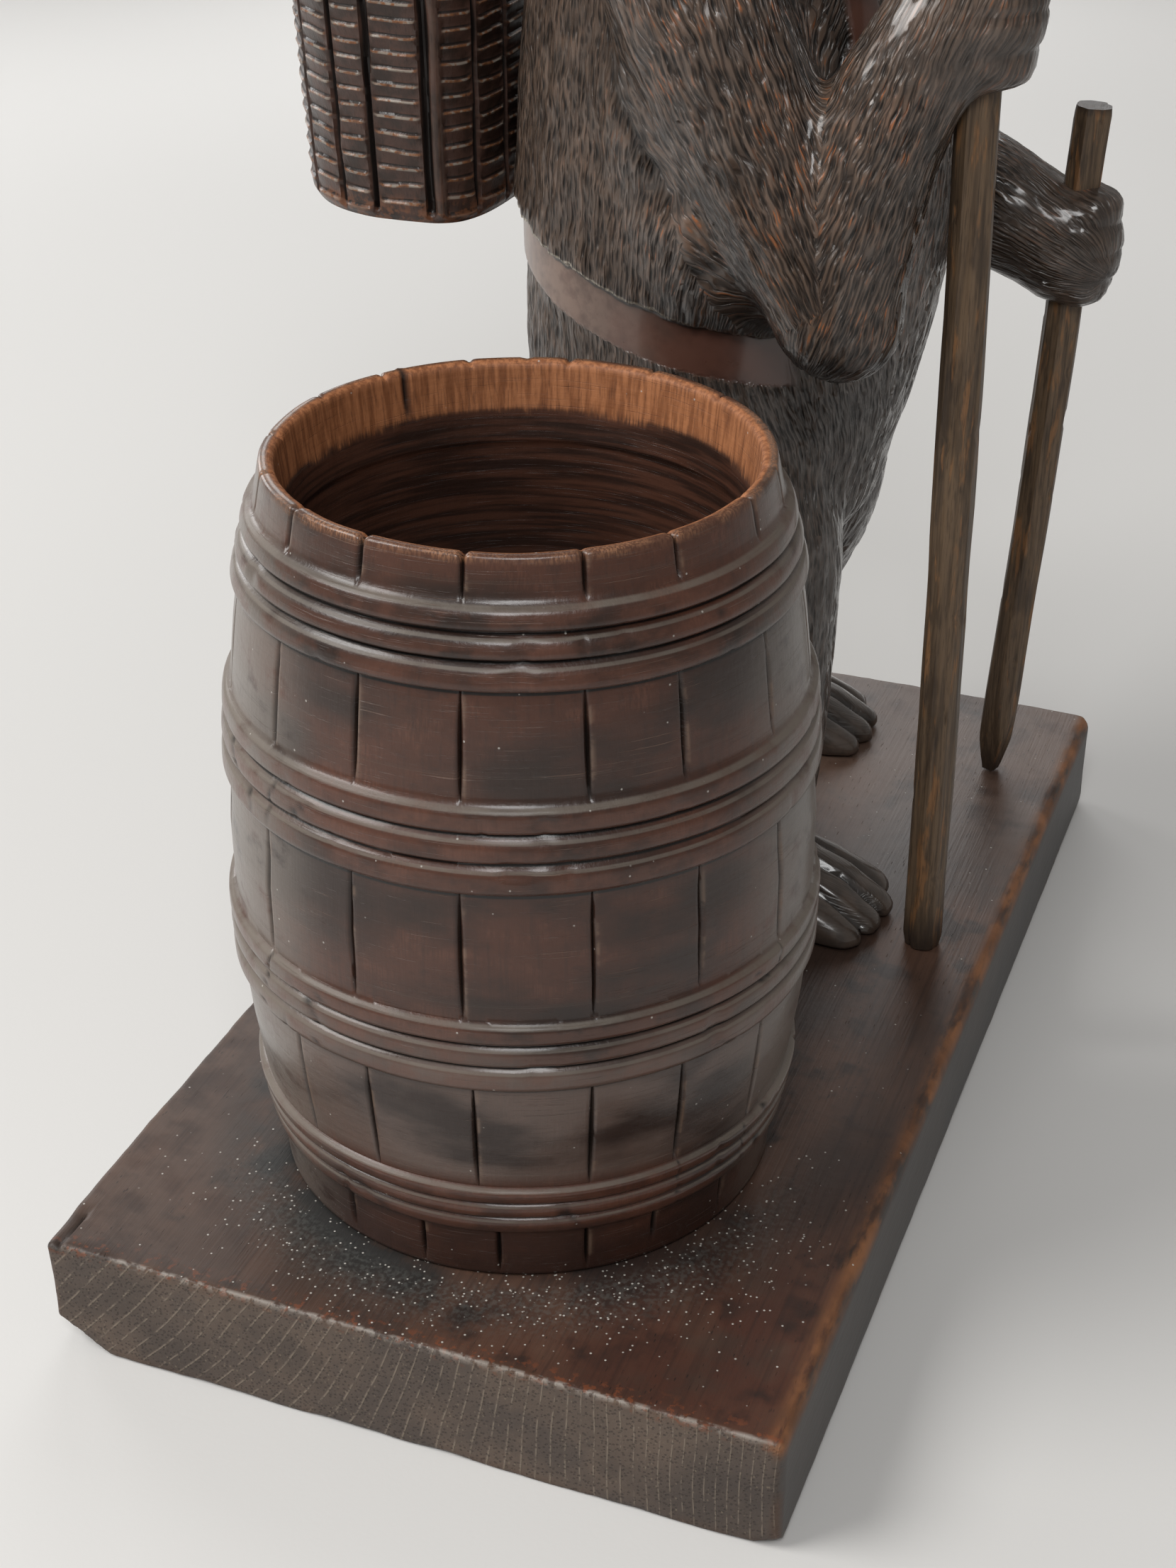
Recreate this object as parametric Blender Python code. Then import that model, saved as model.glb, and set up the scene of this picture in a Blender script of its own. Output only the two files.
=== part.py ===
"""A carved wooden bottle holder: a walking bear with a basket on its back and a stick in each
paw, and a turned barrel for the bottle, standing together on a plank plinth.

Metres, +Z up. The origin is the middle of the plinth's underside. The plank's length lies
along Y, the barrel stands at its -Y end, and the bear at its +Y end faces +X.
"""

import math
import random

import bmesh
import bpy
import numpy as np
from mathutils import Matrix, Vector

# Driving dimensions
FIT_GAP = 0.0003            # between pieces that touch

PLINTH_WIDTH = 0.171        # along X
PLINTH_THICKNESS = 0.030
PLINTH_ARRIS = 0.0012       # softened edges
WORN_EDGE = 0.0035          # the long top edge in front of the bear
WORN_CORNER = (0.016, 0.010, 0.009)   # what is gone at the worst low corner, along X, Y and Z
WORN_LESS = 0.5             # the two other worn corners are this share of it

BARREL_MARGIN = 0.0165      # from the plinth's -Y end to the barrel's belly
BARREL_TO_BEAR = 0.0148     # from the barrel's belly to the bear's elbow
BEAR_MARGIN = 0.0137        # from the bear's other elbow to the plinth's +Y end
STICK_MARGIN = 0.0134       # from the near stick's foot to the plinth's front edge
BARREL_OFFSET = -0.0023     # barrel's axis from the plinth's middle line

BARREL_HEIGHT = 0.1695
BARREL_BORE_RADIUS = 0.0475
BARREL_WALL = 0.0050        # at the rim, where it is thinnest
BARREL_SWELL = 0.0115       # how much wider the belly is than the rim
FOOT_SWELL = 0.0042         # and how much wider the foot is than the rim
BELLY_SHARE = 0.46          # share of the height at which the barrel is widest
BARREL_FLOOR = 0.014
BARREL_LIP = 0.003          # the thin edge that the mouth is bevelled to
MOUTH_DEPTH = 0.018         # how far down the bevel of the mouth runs
STAVES = 16
BARREL_TURN = 11.5          # degrees, brings the stave joints to their places
GOUGE_HALF_WIDTH = 0.0009   # of the cut between two staves
GOUGE_DEPTH = 0.0014
GOUGE_SPAN = (0.22, 0.78)   # full width between these shares of a plain stretch
HOOPS = ((0.080, 0.159), (0.319, 0.419), (0.605, 0.717), (0.852, 0.947))   # shares of height
HOOP_PROUD = 0.0014
HOOP_SECTION = (            # share of the hoop's width, share of how far it stands proud
    (0.04, 1.0),
    (0.30, 1.0),
    (0.40, -0.1),
    (0.52, 0.9),
    (0.64, -0.1),
    (0.74, 1.0),
    (0.96, 1.0),
)

BEAR_HEIGHT = 0.372         # soles to the tips of the ears
UNIT = BEAR_HEIGHT / 372.0  # the figure is laid out in this unit, a 372nd of its height
BEAR_SPAN = 152.0 * UNIT    # elbow to elbow
BEAR_FACETS = 5000          # triangles that the carving is kept to

BASKET_BOTTOM = 173.5 * UNIT           # above the bear's soles
BASKET_HEIGHT = 0.118
BASKET_HALF_WIDTH = 0.040
BASKET_INNER_DEPTH = 0.024  # from the back board to the widest place
BASKET_OUTER_DEPTH = 0.035  # from the widest place outwards
BASKET_FLARE = 1.10         # mouth over foot
BASKET_WALL = 0.0045
BASKET_FLOOR = 0.006
BASKET_RIM = 0.006          # height of the plain band round the mouth
BASKET_RIM_PROUD = 0.0008
BASKET_ARRIS = 0.002        # the softened edge round its foot
BASKET_RIBS = 14
RIB_GROOVE = 0.0022

NEAR_STICK_RADIUS = 0.0050
FAR_STICK_RADIUS = 0.0049
NEAR_STICK_LEAN = Vector((-0.0143, 0.0, 1.0))
FAR_STICK_LEAN = Vector((0.0515, 0.009, 1.0))
STICK_ABOVE_PAW = 0.036     # from the middle of the paw to the sawn top
POINT_LENGTH = 0.020        # the whittled point of the far stick
POINT_TIP = 0.38            # the blunt tip over the stick's radius
STICK_SIDES = 9
STICK_STEP = 0.030          # between the places where the whittling changes
WHITTLING = 0.05            # how uneven the facets are, as a share of the radius
PAW_CLEARANCE = 0.0003

# Fists in the figure's unit: x forward, y to the bear's left, z up from the soles
NEAR_PAW = Vector((72.2, -51.0, 240.0))
FAR_PAW = Vector((80.4, 46.8, 160.0))
NEAR_FIST = (15.5, 14.5, 18.0)
FAR_FIST = (14.5, 13.5, 16.5)
PAW_HOLE_REACH = 65.0       # how far the stick's hole runs each way from the fist's middle

# Places worked out from the dimensions
BARREL_RIM_RADIUS = BARREL_BORE_RADIUS + BARREL_WALL
BARREL_BELLY_RADIUS = BARREL_RIM_RADIUS + BARREL_SWELL
BARREL_FOOT_RADIUS = BARREL_RIM_RADIUS + FOOT_SWELL
PLINTH_LENGTH = BARREL_MARGIN + 2 * BARREL_BELLY_RADIUS + BARREL_TO_BEAR + BEAR_SPAN + BEAR_MARGIN
SEAT = PLINTH_THICKNESS + FIT_GAP      # what stands on the plinth starts here
BARREL_ORIGIN = Vector((BARREL_OFFSET, BARREL_MARGIN + BARREL_BELLY_RADIUS - PLINTH_LENGTH / 2, SEAT))
STICK_REACH = (NEAR_PAW.x - NEAR_STICK_LEAN.x * NEAR_PAW.z) * UNIT + NEAR_STICK_RADIUS
BEAR_ORIGIN = Vector((
    PLINTH_WIDTH / 2 - STICK_MARGIN - STICK_REACH,
    PLINTH_LENGTH / 2 - BEAR_MARGIN - BEAR_SPAN / 2,
    SEAT,
))


def wood(name, colour, roughness):
    """A Principled material of one wood tone."""
    material = bpy.data.materials.new(name)
    material.use_nodes = True
    shader = material.node_tree.nodes["Principled BSDF"]
    shader.inputs["Base Color"].default_value = (*colour, 1.0)
    shader.inputs["Roughness"].default_value = roughness
    shader.inputs["Metallic"].default_value = 0.0
    material.diffuse_color = (*colour, 1.0)
    return material


def add_object(name, mesh, material=None):
    """Links a mesh to the scene as a named object with its material."""
    obj = bpy.data.objects.new(name, mesh)
    bpy.context.scene.collection.objects.link(obj)
    if material:
        mesh.materials.append(material)
    return obj


def mesh_from(bm, name, smooth_angle=None):
    """Turns a bmesh into a mesh, shaded smooth below an angle."""
    mesh = bpy.data.meshes.new(name)
    bm.to_mesh(mesh)
    bm.free()
    if smooth_angle is not None:
        mesh.shade_smooth()
        mesh.set_sharp_from_angle(angle=math.radians(smooth_angle))
    return mesh


def mark_cutter(obj):
    """A cutter shows only as wires and is no part of the object."""
    obj.hide_render = True
    obj.display_type = "WIRE"


def add_cut(obj, cutter):
    """Cuts one object by another with a Boolean that stays live."""
    cut = obj.modifiers.new(cutter.name, "BOOLEAN")
    cut.operation = "DIFFERENCE"
    cut.object = cutter


def box_mesh(name, low, high):
    """A plain box between two corners."""
    bm = bmesh.new()
    bmesh.ops.create_cube(bm, size=1.0)
    low, high = Vector(low), Vector(high)
    for vert in bm.verts:
        vert.co = Vector((low[i] + (vert.co[i] + 0.5) * (high[i] - low[i]) for i in range(3)))
    return mesh_from(bm, name)


# Plinth
def worn_corner(bm, corner, inward):
    """Takes a worn-off corner away with a slanting plane and closes the place."""
    corner = Vector(corner)
    reach = []
    for axis in range(3):
        point = corner.copy()
        point[axis] += inward[axis]
        reach.append(point)
    normal = (reach[1] - reach[0]).cross(reach[2] - reach[0]).normalized()
    if normal.dot(corner - reach[0]) < 0.0:
        normal.negate()
    geometry = bm.verts[:] + bm.edges[:] + bm.faces[:]
    plane = {"plane_co": reach[0], "plane_no": normal}
    cut = bmesh.ops.bisect_plane(bm, geom=geometry, clear_outer=True, **plane)
    edges = [item for item in cut["geom_cut"] if isinstance(item, bmesh.types.BMEdge)]
    bmesh.ops.holes_fill(bm, edges=edges)


def make_plinth():
    """The plank: softened edges, one long edge worn round and low corners knocked off."""
    half_width, half_length = PLINTH_WIDTH / 2, PLINTH_LENGTH / 2
    bm = bmesh.new()
    bmesh.ops.create_cube(bm, size=1.0)
    bmesh.ops.scale(bm, vec=(PLINTH_WIDTH, PLINTH_LENGTH, PLINTH_THICKNESS), verts=bm.verts)
    bmesh.ops.translate(bm, vec=(0.0, 0.0, PLINTH_THICKNESS / 2), verts=bm.verts)

    def middle(edge):
        return (edge.verts[0].co + edge.verts[1].co) / 2

    front = [edge for edge in bm.edges if middle(edge).x > half_width * 0.9]
    worn = [edge for edge in front if middle(edge).z > PLINTH_THICKNESS * 0.9]
    bmesh.ops.bevel(bm, geom=worn, offset=WORN_EDGE, segments=3, profile=0.5, affect="EDGES")
    square = math.radians(70.0)
    sharp = [edge for edge in bm.edges if edge.calc_face_angle(0.0) > square]
    bmesh.ops.bevel(bm, geom=sharp, offset=PLINTH_ARRIS, segments=1, profile=0.5, affect="EDGES")
    reach = Vector(WORN_CORNER)
    for side, end, share in ((-1, -1, 1.0), (1, -1, WORN_LESS), (1, 1, WORN_LESS)):
        inward = Vector((-side * reach.x, -end * reach.y, reach.z)) * share
        worn_corner(bm, (side * half_width, end * half_length, 0.0), inward)
    bmesh.ops.recalc_face_normals(bm, faces=bm.faces)
    material = wood("plinth_wood", (0.085, 0.040, 0.028), 0.55)
    return add_object("plinth", mesh_from(bm, "plinth", 30), material)


# Barrel
def stave_radius(height):
    """Outer radius of the staves at a height over the barrel's foot."""
    belly_at = BARREL_HEIGHT * BELLY_SHARE
    if height > belly_at:
        share = (height - belly_at) / (BARREL_HEIGHT - belly_at)
        return BARREL_BELLY_RADIUS - BARREL_SWELL * share**2
    share = (belly_at - height) / belly_at
    return BARREL_BELLY_RADIUS - (BARREL_SWELL - FOOT_SWELL) * share**2


def barrel_profile():
    """(radius, height, starts a plain section) from the foot's outer edge up and down the bore."""
    rows = [(BARREL_FOOT_RADIUS, 0.0, True)]
    for low_share, high_share in HOOPS:
        low, high = low_share * BARREL_HEIGHT, high_share * BARREL_HEIGHT
        width = high - low
        rows.append((stave_radius(low), low, False))
        for share, raised in HOOP_SECTION:
            height = low + share * width
            rows.append((stave_radius(height) + raised * HOOP_PROUD, height, False))
        rows.append((stave_radius(high), high, True))
    rows.append((BARREL_RIM_RADIUS, BARREL_HEIGHT - BARREL_LIP * 0.2, False))
    rows.append((BARREL_RIM_RADIUS - BARREL_LIP * 0.25, BARREL_HEIGHT, False))
    rows.append((BARREL_RIM_RADIUS - BARREL_LIP, BARREL_HEIGHT - BARREL_LIP * 0.1, False))
    rows.append((BARREL_BORE_RADIUS, BARREL_HEIGHT - MOUTH_DEPTH, False))
    rows.append((BARREL_BORE_RADIUS, BARREL_FLOOR, False))
    return rows


def make_barrel():
    """The turned barrel: hollow, open at the top, with hoops and a gouge between its staves."""
    columns = STAVES * 2
    rows = barrel_profile()
    bm = bmesh.new()

    def place(radius, height, turn):
        angle = 2.0 * math.pi * turn / columns
        return bm.verts.new((radius * math.cos(angle), radius * math.sin(angle), height))

    rings = [[place(radius, height, turn) for turn in range(columns)] for radius, height, _ in rows]
    for index, (row, above) in enumerate(zip(rows, rows[1:])):
        low, high = rings[index], rings[index + 1]
        if not row[2]:
            for turn in range(columns):
                nxt = (turn + 1) % columns
                bm.faces.new((low[turn], low[nxt], high[nxt], high[turn]))
            continue
        for joint in range(0, columns, 2):
            left, right = (joint - 1) % columns, (joint + 1) % columns
            marks = {}
            for name, share in zip(("low", "high"), GOUGE_SPAN):
                height = row[1] + share * (above[1] - row[1])
                radius = row[0] + share * (above[0] - row[0])
                aside = GOUGE_HALF_WIDTH / radius * columns / (2.0 * math.pi)
                marks[name] = [
                    place(radius, height, joint - aside),
                    place(radius - GOUGE_DEPTH, height, joint),
                    place(radius, height, joint + aside),
                ]
            low_marks, high_marks = marks["low"], marks["high"]
            foot, top = low[joint], high[joint]
            bm.faces.new((low[left], foot, low_marks[0], high_marks[0], top, high[left]))
            bm.faces.new((foot, low[right], high[right], top, high_marks[2], low_marks[2]))
            bm.faces.new((foot, low_marks[1], low_marks[0]))
            bm.faces.new((foot, low_marks[2], low_marks[1]))
            bm.faces.new((low_marks[0], low_marks[1], high_marks[1], high_marks[0]))
            bm.faces.new((low_marks[1], low_marks[2], high_marks[2], high_marks[1]))
            bm.faces.new((high_marks[0], high_marks[1], top))
            bm.faces.new((high_marks[1], high_marks[2], top))
    bm.faces.new(list(reversed(rings[0])))
    bm.faces.new(rings[-1])
    material = wood("barrel_wood", (0.070, 0.030, 0.022), 0.40)
    barrel = add_object("barrel", mesh_from(bm, "barrel", 35), material)
    barrel.location = BARREL_ORIGIN
    barrel.rotation_euler.z = math.radians(BARREL_TURN)
    return barrel


# Bear: rounded forms in the figure's unit, x forward, y to the bear's left, z up from the soles
TORSO = (   # x, y, z, half width, half depth
    (3, 0, 86, 34, 31),
    (1.4, 0, 96, 46, 41.6),
    (-0.6, 0, 108, 50.5, 46.1),
    (-1.6, 0, 121, 52.5, 48.1),
    (0.4, 0, 145, 55, 51.8),
    (2.4, 0, 167, 56.5, 54.1),
    (2.4, 0, 192, 56.5, 54.6),
    (1.4, 0, 218, 56, 53.1),
    (0.4, 0, 243, 54, 48.6),
    (0.2, 0, 263, 50, 43.8),
    (2, 0, 282, 45, 41),
    (3, 0, 300, 42, 40),
)
BACK_STATION = TORSO[6]             # where the back reaches furthest, which the basket rests on
NECK = ((-8, 0, 298, 42, 38), (4, 0, 318, 41, 34))
SKULL = (
    (-24, 0, 319, 33, 28),
    (-10, 0, 325, 41, 34),
    (8, 0, 328, 44, 35.5),
    (24, 0, 327, 39.5, 33),
    (38, 0, 322, 29.5, 26.5),
    (49, 0, 318, 22.5, 20.5),
    (60, 0, 316, 19.5, 17.5),
    (69, 0, 315.5, 17.5, 15.5),
)
JAW = ((28, 0, 308, 21, 11), (48, 0, 306, 15.5, 9), (65, 0, 307, 11.5, 7))
NOSE = ((80.5, 0, 323.5), (6, 9.5, 6.5))
PAIRED_FORMS = (                    # place on the bear's left and radii: brow, eye, cheek, ear
    ((31, 17, 345), (13, 10, 7.5)),
    ((43.5, 16, 334.5), (3.8, 3.8, 3.8)),
    ((8, 31, 313), (22, 18, 21)),
    ((-4, 34, 357), (7, 13.5, 15)),
)
EAR_CUP = (34.0, 359.0, 9.5, 3.4)   # y, z, radius and depth of the hollow in an ear
MOUTH_HEIGHT = 312.0
MOUTH_CORNER = 46.0                 # how far forward the corners of the mouth are
NEAR_ARM = (
    (2, -44, 256, 21, 21),
    (6, -53, 240, 21, 20),
    (22, -58, 212, 18, 18.5),
    (38, -60, 187, 16, 16.5),
    (46.5, -60, 170.5, 15.5, 15.5),
)
NEAR_FOREARM = (
    (45, -60, 172, 15.5, 15.5),
    (49, -59, 197, 15, 15),
    (55, -56, 218, 14.5, 14.5),
    (64, -52.5, 234, 15, 15),
)
FAR_ARM = (
    (2, 44, 256, 21, 21),
    (8, 54, 238, 20, 20),
    (17, 59, 212, 18, 18),
    (24, 60, 190, 17.5, 17.5),
)
FAR_FOREARM = (
    (24, 60, 184, 17.5, 17.5),
    (42, 54, 173, 17, 17),
    (58, 48, 168, 16, 16.5),
    (74, 46.8, 161, 14, 14.5),
)
NEAR_LEG = (
    (2, -27, 110, 31, 36),
    (8, -31, 90, 30, 35),
    (12.5, -35, 68, 27.5, 30.5),
    (15.5, -39, 44, 25, 27),
    (15, -43, 20, 22, 25),
)
FAR_LEG = (
    (4, 27, 110, 31, 34.5),
    (3, 31, 90, 30, 33.5),
    (-3, 36, 66, 27.5, 29),
    (-8, 42, 44, 25, 26.5),
    (-12, 47, 20, 22, 24.5),
)
SHOULDER = ((-2, 36, 262), (30, 24, 24))
RUMP = ((-9, 22, 112), (36.5, 33, 36))
CROOKS = (                          # fill the coat in behind the upper arm and over the elbow
    ((6, 42, 214), (26, 24, 37)),
    ((18, 50, 190), (28, 17, 28)),
)
NEAR_FOOT = (28.0, -44.0, -3.0)     # x and y of the foot's middle, and its turn in degrees
FAR_FOOT = (-2.0, 49.0, 8.0)
INSTEP = ((-34, 0, 6, 13, 12), (-18, 0, 9, 17, 14), (2, 0, 7, 18.5, 12), (20, 0, 4, 18.5, 9.5))
TOE_REACH = (-1.5, 1.5, 2.0, -2.5)  # how far each toe stands forward
TOE_SPACING = 9.5

BELT_HALF = 6.6                     # half the belt's width
BELT_AXIS = Vector((0.22, -0.12, 1.0)).normalized()
BELT_MIDDLE = Vector((0.0, 0.0, 164.9))
BELT_END = 33.0                     # how far forward it runs, to under the elbows
COAT_LIP = 1.5                      # how far the fur stands over the belt's upper edge
COAT_FADE = 40.0                    # and how far up it takes to come level
BREECH_STEP = 1.1                   # how far the fur lies under the belt's lower edge
BREECH_FADE = 30.0
TRUNK_RADIUS = 61.0                 # belt and straps keep within this, off the arms
STRAP_HALF = 4.8
STRAP_LIFT = 1.3
STRAPS = (                          # one side, from the basket over the shoulder to the armpit
    (-47.5, 24, 262),
    (-31, 31, 280),
    (-4, 36, 288),
    (22, 36, 278),
    (40, 37, 252),
    (46, 37, 226),
    (42, 42, 206),
)
VOXEL = 2.0                         # the grain at which the forms are joined
EASING = 5                          # rounds of smoothing after that


def smooth_path(stations, steps):
    """Stations filled in along a smooth curve that passes through each of them."""
    points = [np.array(station, float) for station in stations]
    points = [2 * points[0] - points[1]] + points + [2 * points[-1] - points[-2]]
    filled = []
    for a, b, c, d in zip(points, points[1:], points[2:], points[3:]):
        for step in range(steps):
            t = step / steps
            bend = (2 * a - 5 * b + 4 * c - d) * t**2 + (3 * b - a - 3 * c + d) * t**3
            filled.append(0.5 * (2 * b + (c - a) * t + bend))
    filled.append(points[-2])
    return filled


def rounded_end(station, tangent, sign):
    """The shrinking rings that close a limb, from the tip inwards, and the tip itself."""
    reach = min(station[3], station[4]) * sign
    cap = []
    for angle in (75, 50, 25):
        ring = station.copy()
        ring[:3] += np.array(tangent) * reach * math.sin(math.radians(angle))
        ring[3:] *= math.cos(math.radians(angle))
        cap.append((ring, tangent))
    return cap, Vector(station[:3]) + tangent * reach


def add_limb(bm, stations, side=(0.0, 1.0, 0.0), steps=4, segments=24):
    """A round-ended limb through stations of x, y, z, half size along `side` and half size across."""
    path = smooth_path(stations, steps)
    last = len(path) - 1
    tangents = []
    for index in range(len(path)):
        along = path[min(index + 1, last)] - path[max(index - 1, 0)]
        tangents.append(Vector(along[:3]).normalized())
    start, start_tip = rounded_end(path[0], tangents[0], -1)
    end, end_tip = rounded_end(path[-1], tangents[-1], 1)
    loops = []
    for station, tangent in start + list(zip(path, tangents)) + end[::-1]:
        across = Vector(side) - tangent * tangent.dot(Vector(side))
        across.normalize()
        up = tangent.cross(across)
        loop = []
        for turn in range(segments):
            angle = 2.0 * math.pi * turn / segments
            spoke = across * math.cos(angle) * station[3] + up * math.sin(angle) * station[4]
            loop.append(bm.verts.new(Vector(station[:3]) + spoke))
        loops.append(loop)
    for low, high in zip(loops, loops[1:]):
        for turn in range(segments):
            nxt = (turn + 1) % segments
            bm.faces.new((low[turn], low[nxt], high[nxt], high[turn]))
    for loop, tip in ((loops[0][::-1], start_tip), (loops[-1], end_tip)):
        pole = bm.verts.new(tip)
        for turn in range(segments):
            bm.faces.new((pole, loop[turn], loop[(turn + 1) % segments]))


def add_ball(bm, centre, radii):
    """An ellipsoid."""
    matrix = Matrix.Translation(centre) @ Matrix.Diagonal((*radii, 1.0))
    bmesh.ops.create_uvsphere(bm, u_segments=24, v_segments=14, radius=1.0, matrix=matrix)


def add_pair(bm, centre, radii):
    """The same ellipsoid on the bear's left and right."""
    for side in (-1, 1):
        add_ball(bm, (centre[0], centre[1] * side, centre[2]), radii)


def add_foot(bm, foot):
    """A broad flat foot with four rounded toes."""
    middle_x, middle_y, turn = foot
    place = Matrix.Translation((middle_x, middle_y, 0.0))
    place = place @ Matrix.Rotation(math.radians(turn), 4, "Z")
    start = len(bm.verts)
    add_limb(bm, INSTEP)
    for toe, reach in enumerate(TOE_REACH):
        aside = (toe - (len(TOE_REACH) - 1) / 2) * TOE_SPACING
        knuckle = (6, aside, 7, 4.8, 7.5)
        middle = (20 + reach, aside, 5, 5.4, 6.5)
        tip = (32 + reach, aside, 1.5, 4.9, 4.6)
        add_limb(bm, (knuckle, middle, tip))
    bm.verts.ensure_lookup_table()
    for vert in bm.verts[start:]:
        vert.co = place @ vert.co


def add_paw(bm, centre, lean, radii):
    """A fist with four fingers closed round a stick."""
    forward, across, height = radii
    add_ball(bm, centre - Vector((forward * 0.22, 0.0, 0.0)), radii)
    axis = lean.normalized()
    for finger in range(4):
        middle = centre + axis * (finger - 1.5) * height * 0.46 + Vector((forward * 0.30, 0.0, 0.0))
        add_ball(bm, middle, (forward * 0.52, across * 0.80, height * 0.27))


def add_head(bm):
    """Neck, skull with muzzle, jaw, nose, brows, eyes, cheeks and ears."""
    add_limb(bm, NECK, segments=32)
    add_limb(bm, SKULL, segments=32)
    add_limb(bm, JAW)
    add_ball(bm, *NOSE)
    for centre, radii in PAIRED_FORMS:
        add_pair(bm, centre, radii)


def add_body(bm):
    """Trunk, arms, legs, feet and paws."""
    add_limb(bm, TORSO, segments=40)
    add_pair(bm, *SHOULDER)
    add_pair(bm, *RUMP)
    for centre, radii in CROOKS:
        add_pair(bm, centre, radii)
    for limb in (NEAR_ARM, NEAR_FOREARM, FAR_ARM, FAR_FOREARM, NEAR_LEG, FAR_LEG):
        add_limb(bm, limb)
    add_foot(bm, NEAR_FOOT)
    add_foot(bm, FAR_FOOT)
    add_paw(bm, NEAR_PAW, NEAR_STICK_LEAN, NEAR_FIST)
    add_paw(bm, FAR_PAW, FAR_STICK_LEAN, FAR_FIST)


def coat_depth(points):
    """The fur's edge over the belt and the step under it."""
    depth = np.zeros(len(points))
    above = (points - np.array(BELT_MIDDLE)) @ np.array(BELT_AXIS)
    trunk = (np.hypot(points[:, 0], points[:, 1]) < TRUNK_RADIUS) & (points[:, 0] < BELT_END)
    coat = trunk & (above > BELT_HALF) & (above < COAT_FADE)
    depth[coat] += COAT_LIP * (COAT_FADE - above[coat]) / (COAT_FADE - BELT_HALF)
    breech = trunk & (above < -BELT_HALF) & (above > -BREECH_FADE)
    depth[breech] -= BREECH_STEP * (BREECH_FADE + above[breech]) / (BREECH_FADE - BELT_HALF)
    return depth


def strap_depth(points, normals):
    """The two shoulder straps, standing a little proud of the coat."""
    depth = np.zeros(len(points))
    trunk = np.hypot(points[:, 0], points[:, 1]) < TRUNK_RADIUS
    for side in (-1, 1):
        route = [(x, side * y, z, 0, 0) for x, y, z in STRAPS]
        line = np.array(smooth_path(route, 12))[:, :3]
        offset = points[:, None, :] - line[None, :, :]
        lift = np.einsum("ijk,ik->ij", offset, normals)
        aside = np.sqrt(np.maximum((offset**2).sum(2) - lift**2, 0.0))
        aside[np.abs(lift) > 2.5 * STRAP_HALF] = 2.0 * STRAP_HALF
        depth[(aside.min(1) < STRAP_HALF) & trunk] = STRAP_LIFT
    return depth


def face_depth(points, normals):
    """The line of the mouth and the hollows of the ears."""
    depth = np.zeros(len(points))
    x, y, z = points.T
    mouth = (x > MOUTH_CORNER) & (np.abs(z - MOUTH_HEIGHT) < 1.2) & (np.abs(y) > 3.0)
    depth[mouth] -= 1.4
    ear_y, ear_z, radius, hollow = EAR_CUP
    from_middle = np.hypot(np.abs(y) - ear_y, z - ear_z) / radius
    cup = (from_middle < 1.0) & (normals[:, 0] > 0.4) & (x < PAIRED_FORMS[-1][1][0] + 2.0)
    depth[cup] -= hollow * (1.0 - from_middle[cup] ** 2)
    return depth


def make_bear(holes):
    """The bear, carved from one block: forms joined, eased together, then belt and straps cut."""
    bm = bmesh.new()
    add_body(bm)
    add_head(bm)
    rough = add_object("bear_rough", mesh_from(bm, "bear_rough"))
    joined = rough.modifiers.new("join", "REMESH")
    joined.mode = "VOXEL"
    joined.voxel_size = VOXEL
    eased = rough.modifiers.new("ease", "SMOOTH")
    eased.factor = 0.5
    eased.iterations = EASING
    evaluated = rough.evaluated_get(bpy.context.evaluated_depsgraph_get())
    mesh = bpy.data.meshes.new_from_object(evaluated)
    bpy.data.objects.remove(rough)
    count = len(mesh.vertices)
    points, normals = np.empty(count * 3), np.empty(count * 3)
    mesh.vertices.foreach_get("co", points)
    mesh.vertex_normals.foreach_get("vector", normals)
    points, normals = points.reshape(-1, 3), normals.reshape(-1, 3)
    depth = coat_depth(points) + strap_depth(points, normals) + face_depth(points, normals)
    points = points + normals * depth[:, None]
    mesh.vertices.foreach_set("co", (points * UNIT).ravel())
    mesh.name = "bear"
    mesh.shade_smooth()
    bear = add_object("bear", mesh, wood("bear_wood", (0.040, 0.024, 0.018), 0.45))
    bear.location = BEAR_ORIGIN
    fewer = bear.modifiers.new("facets", "DECIMATE")
    fewer.ratio = BEAR_FACETS / (2.0 * len(mesh.polygons))
    block = box_mesh("sole_cutter", (-BEAR_SPAN, -BEAR_SPAN, -BEAR_SPAN), (BEAR_SPAN, BEAR_SPAN, 0.0))
    sole_cutter = add_object("sole_cutter", block)
    sole_cutter.location = BEAR_ORIGIN
    for cutter in [sole_cutter, *holes]:
        mark_cutter(cutter)
        add_cut(bear, cutter)
    return bear


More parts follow.
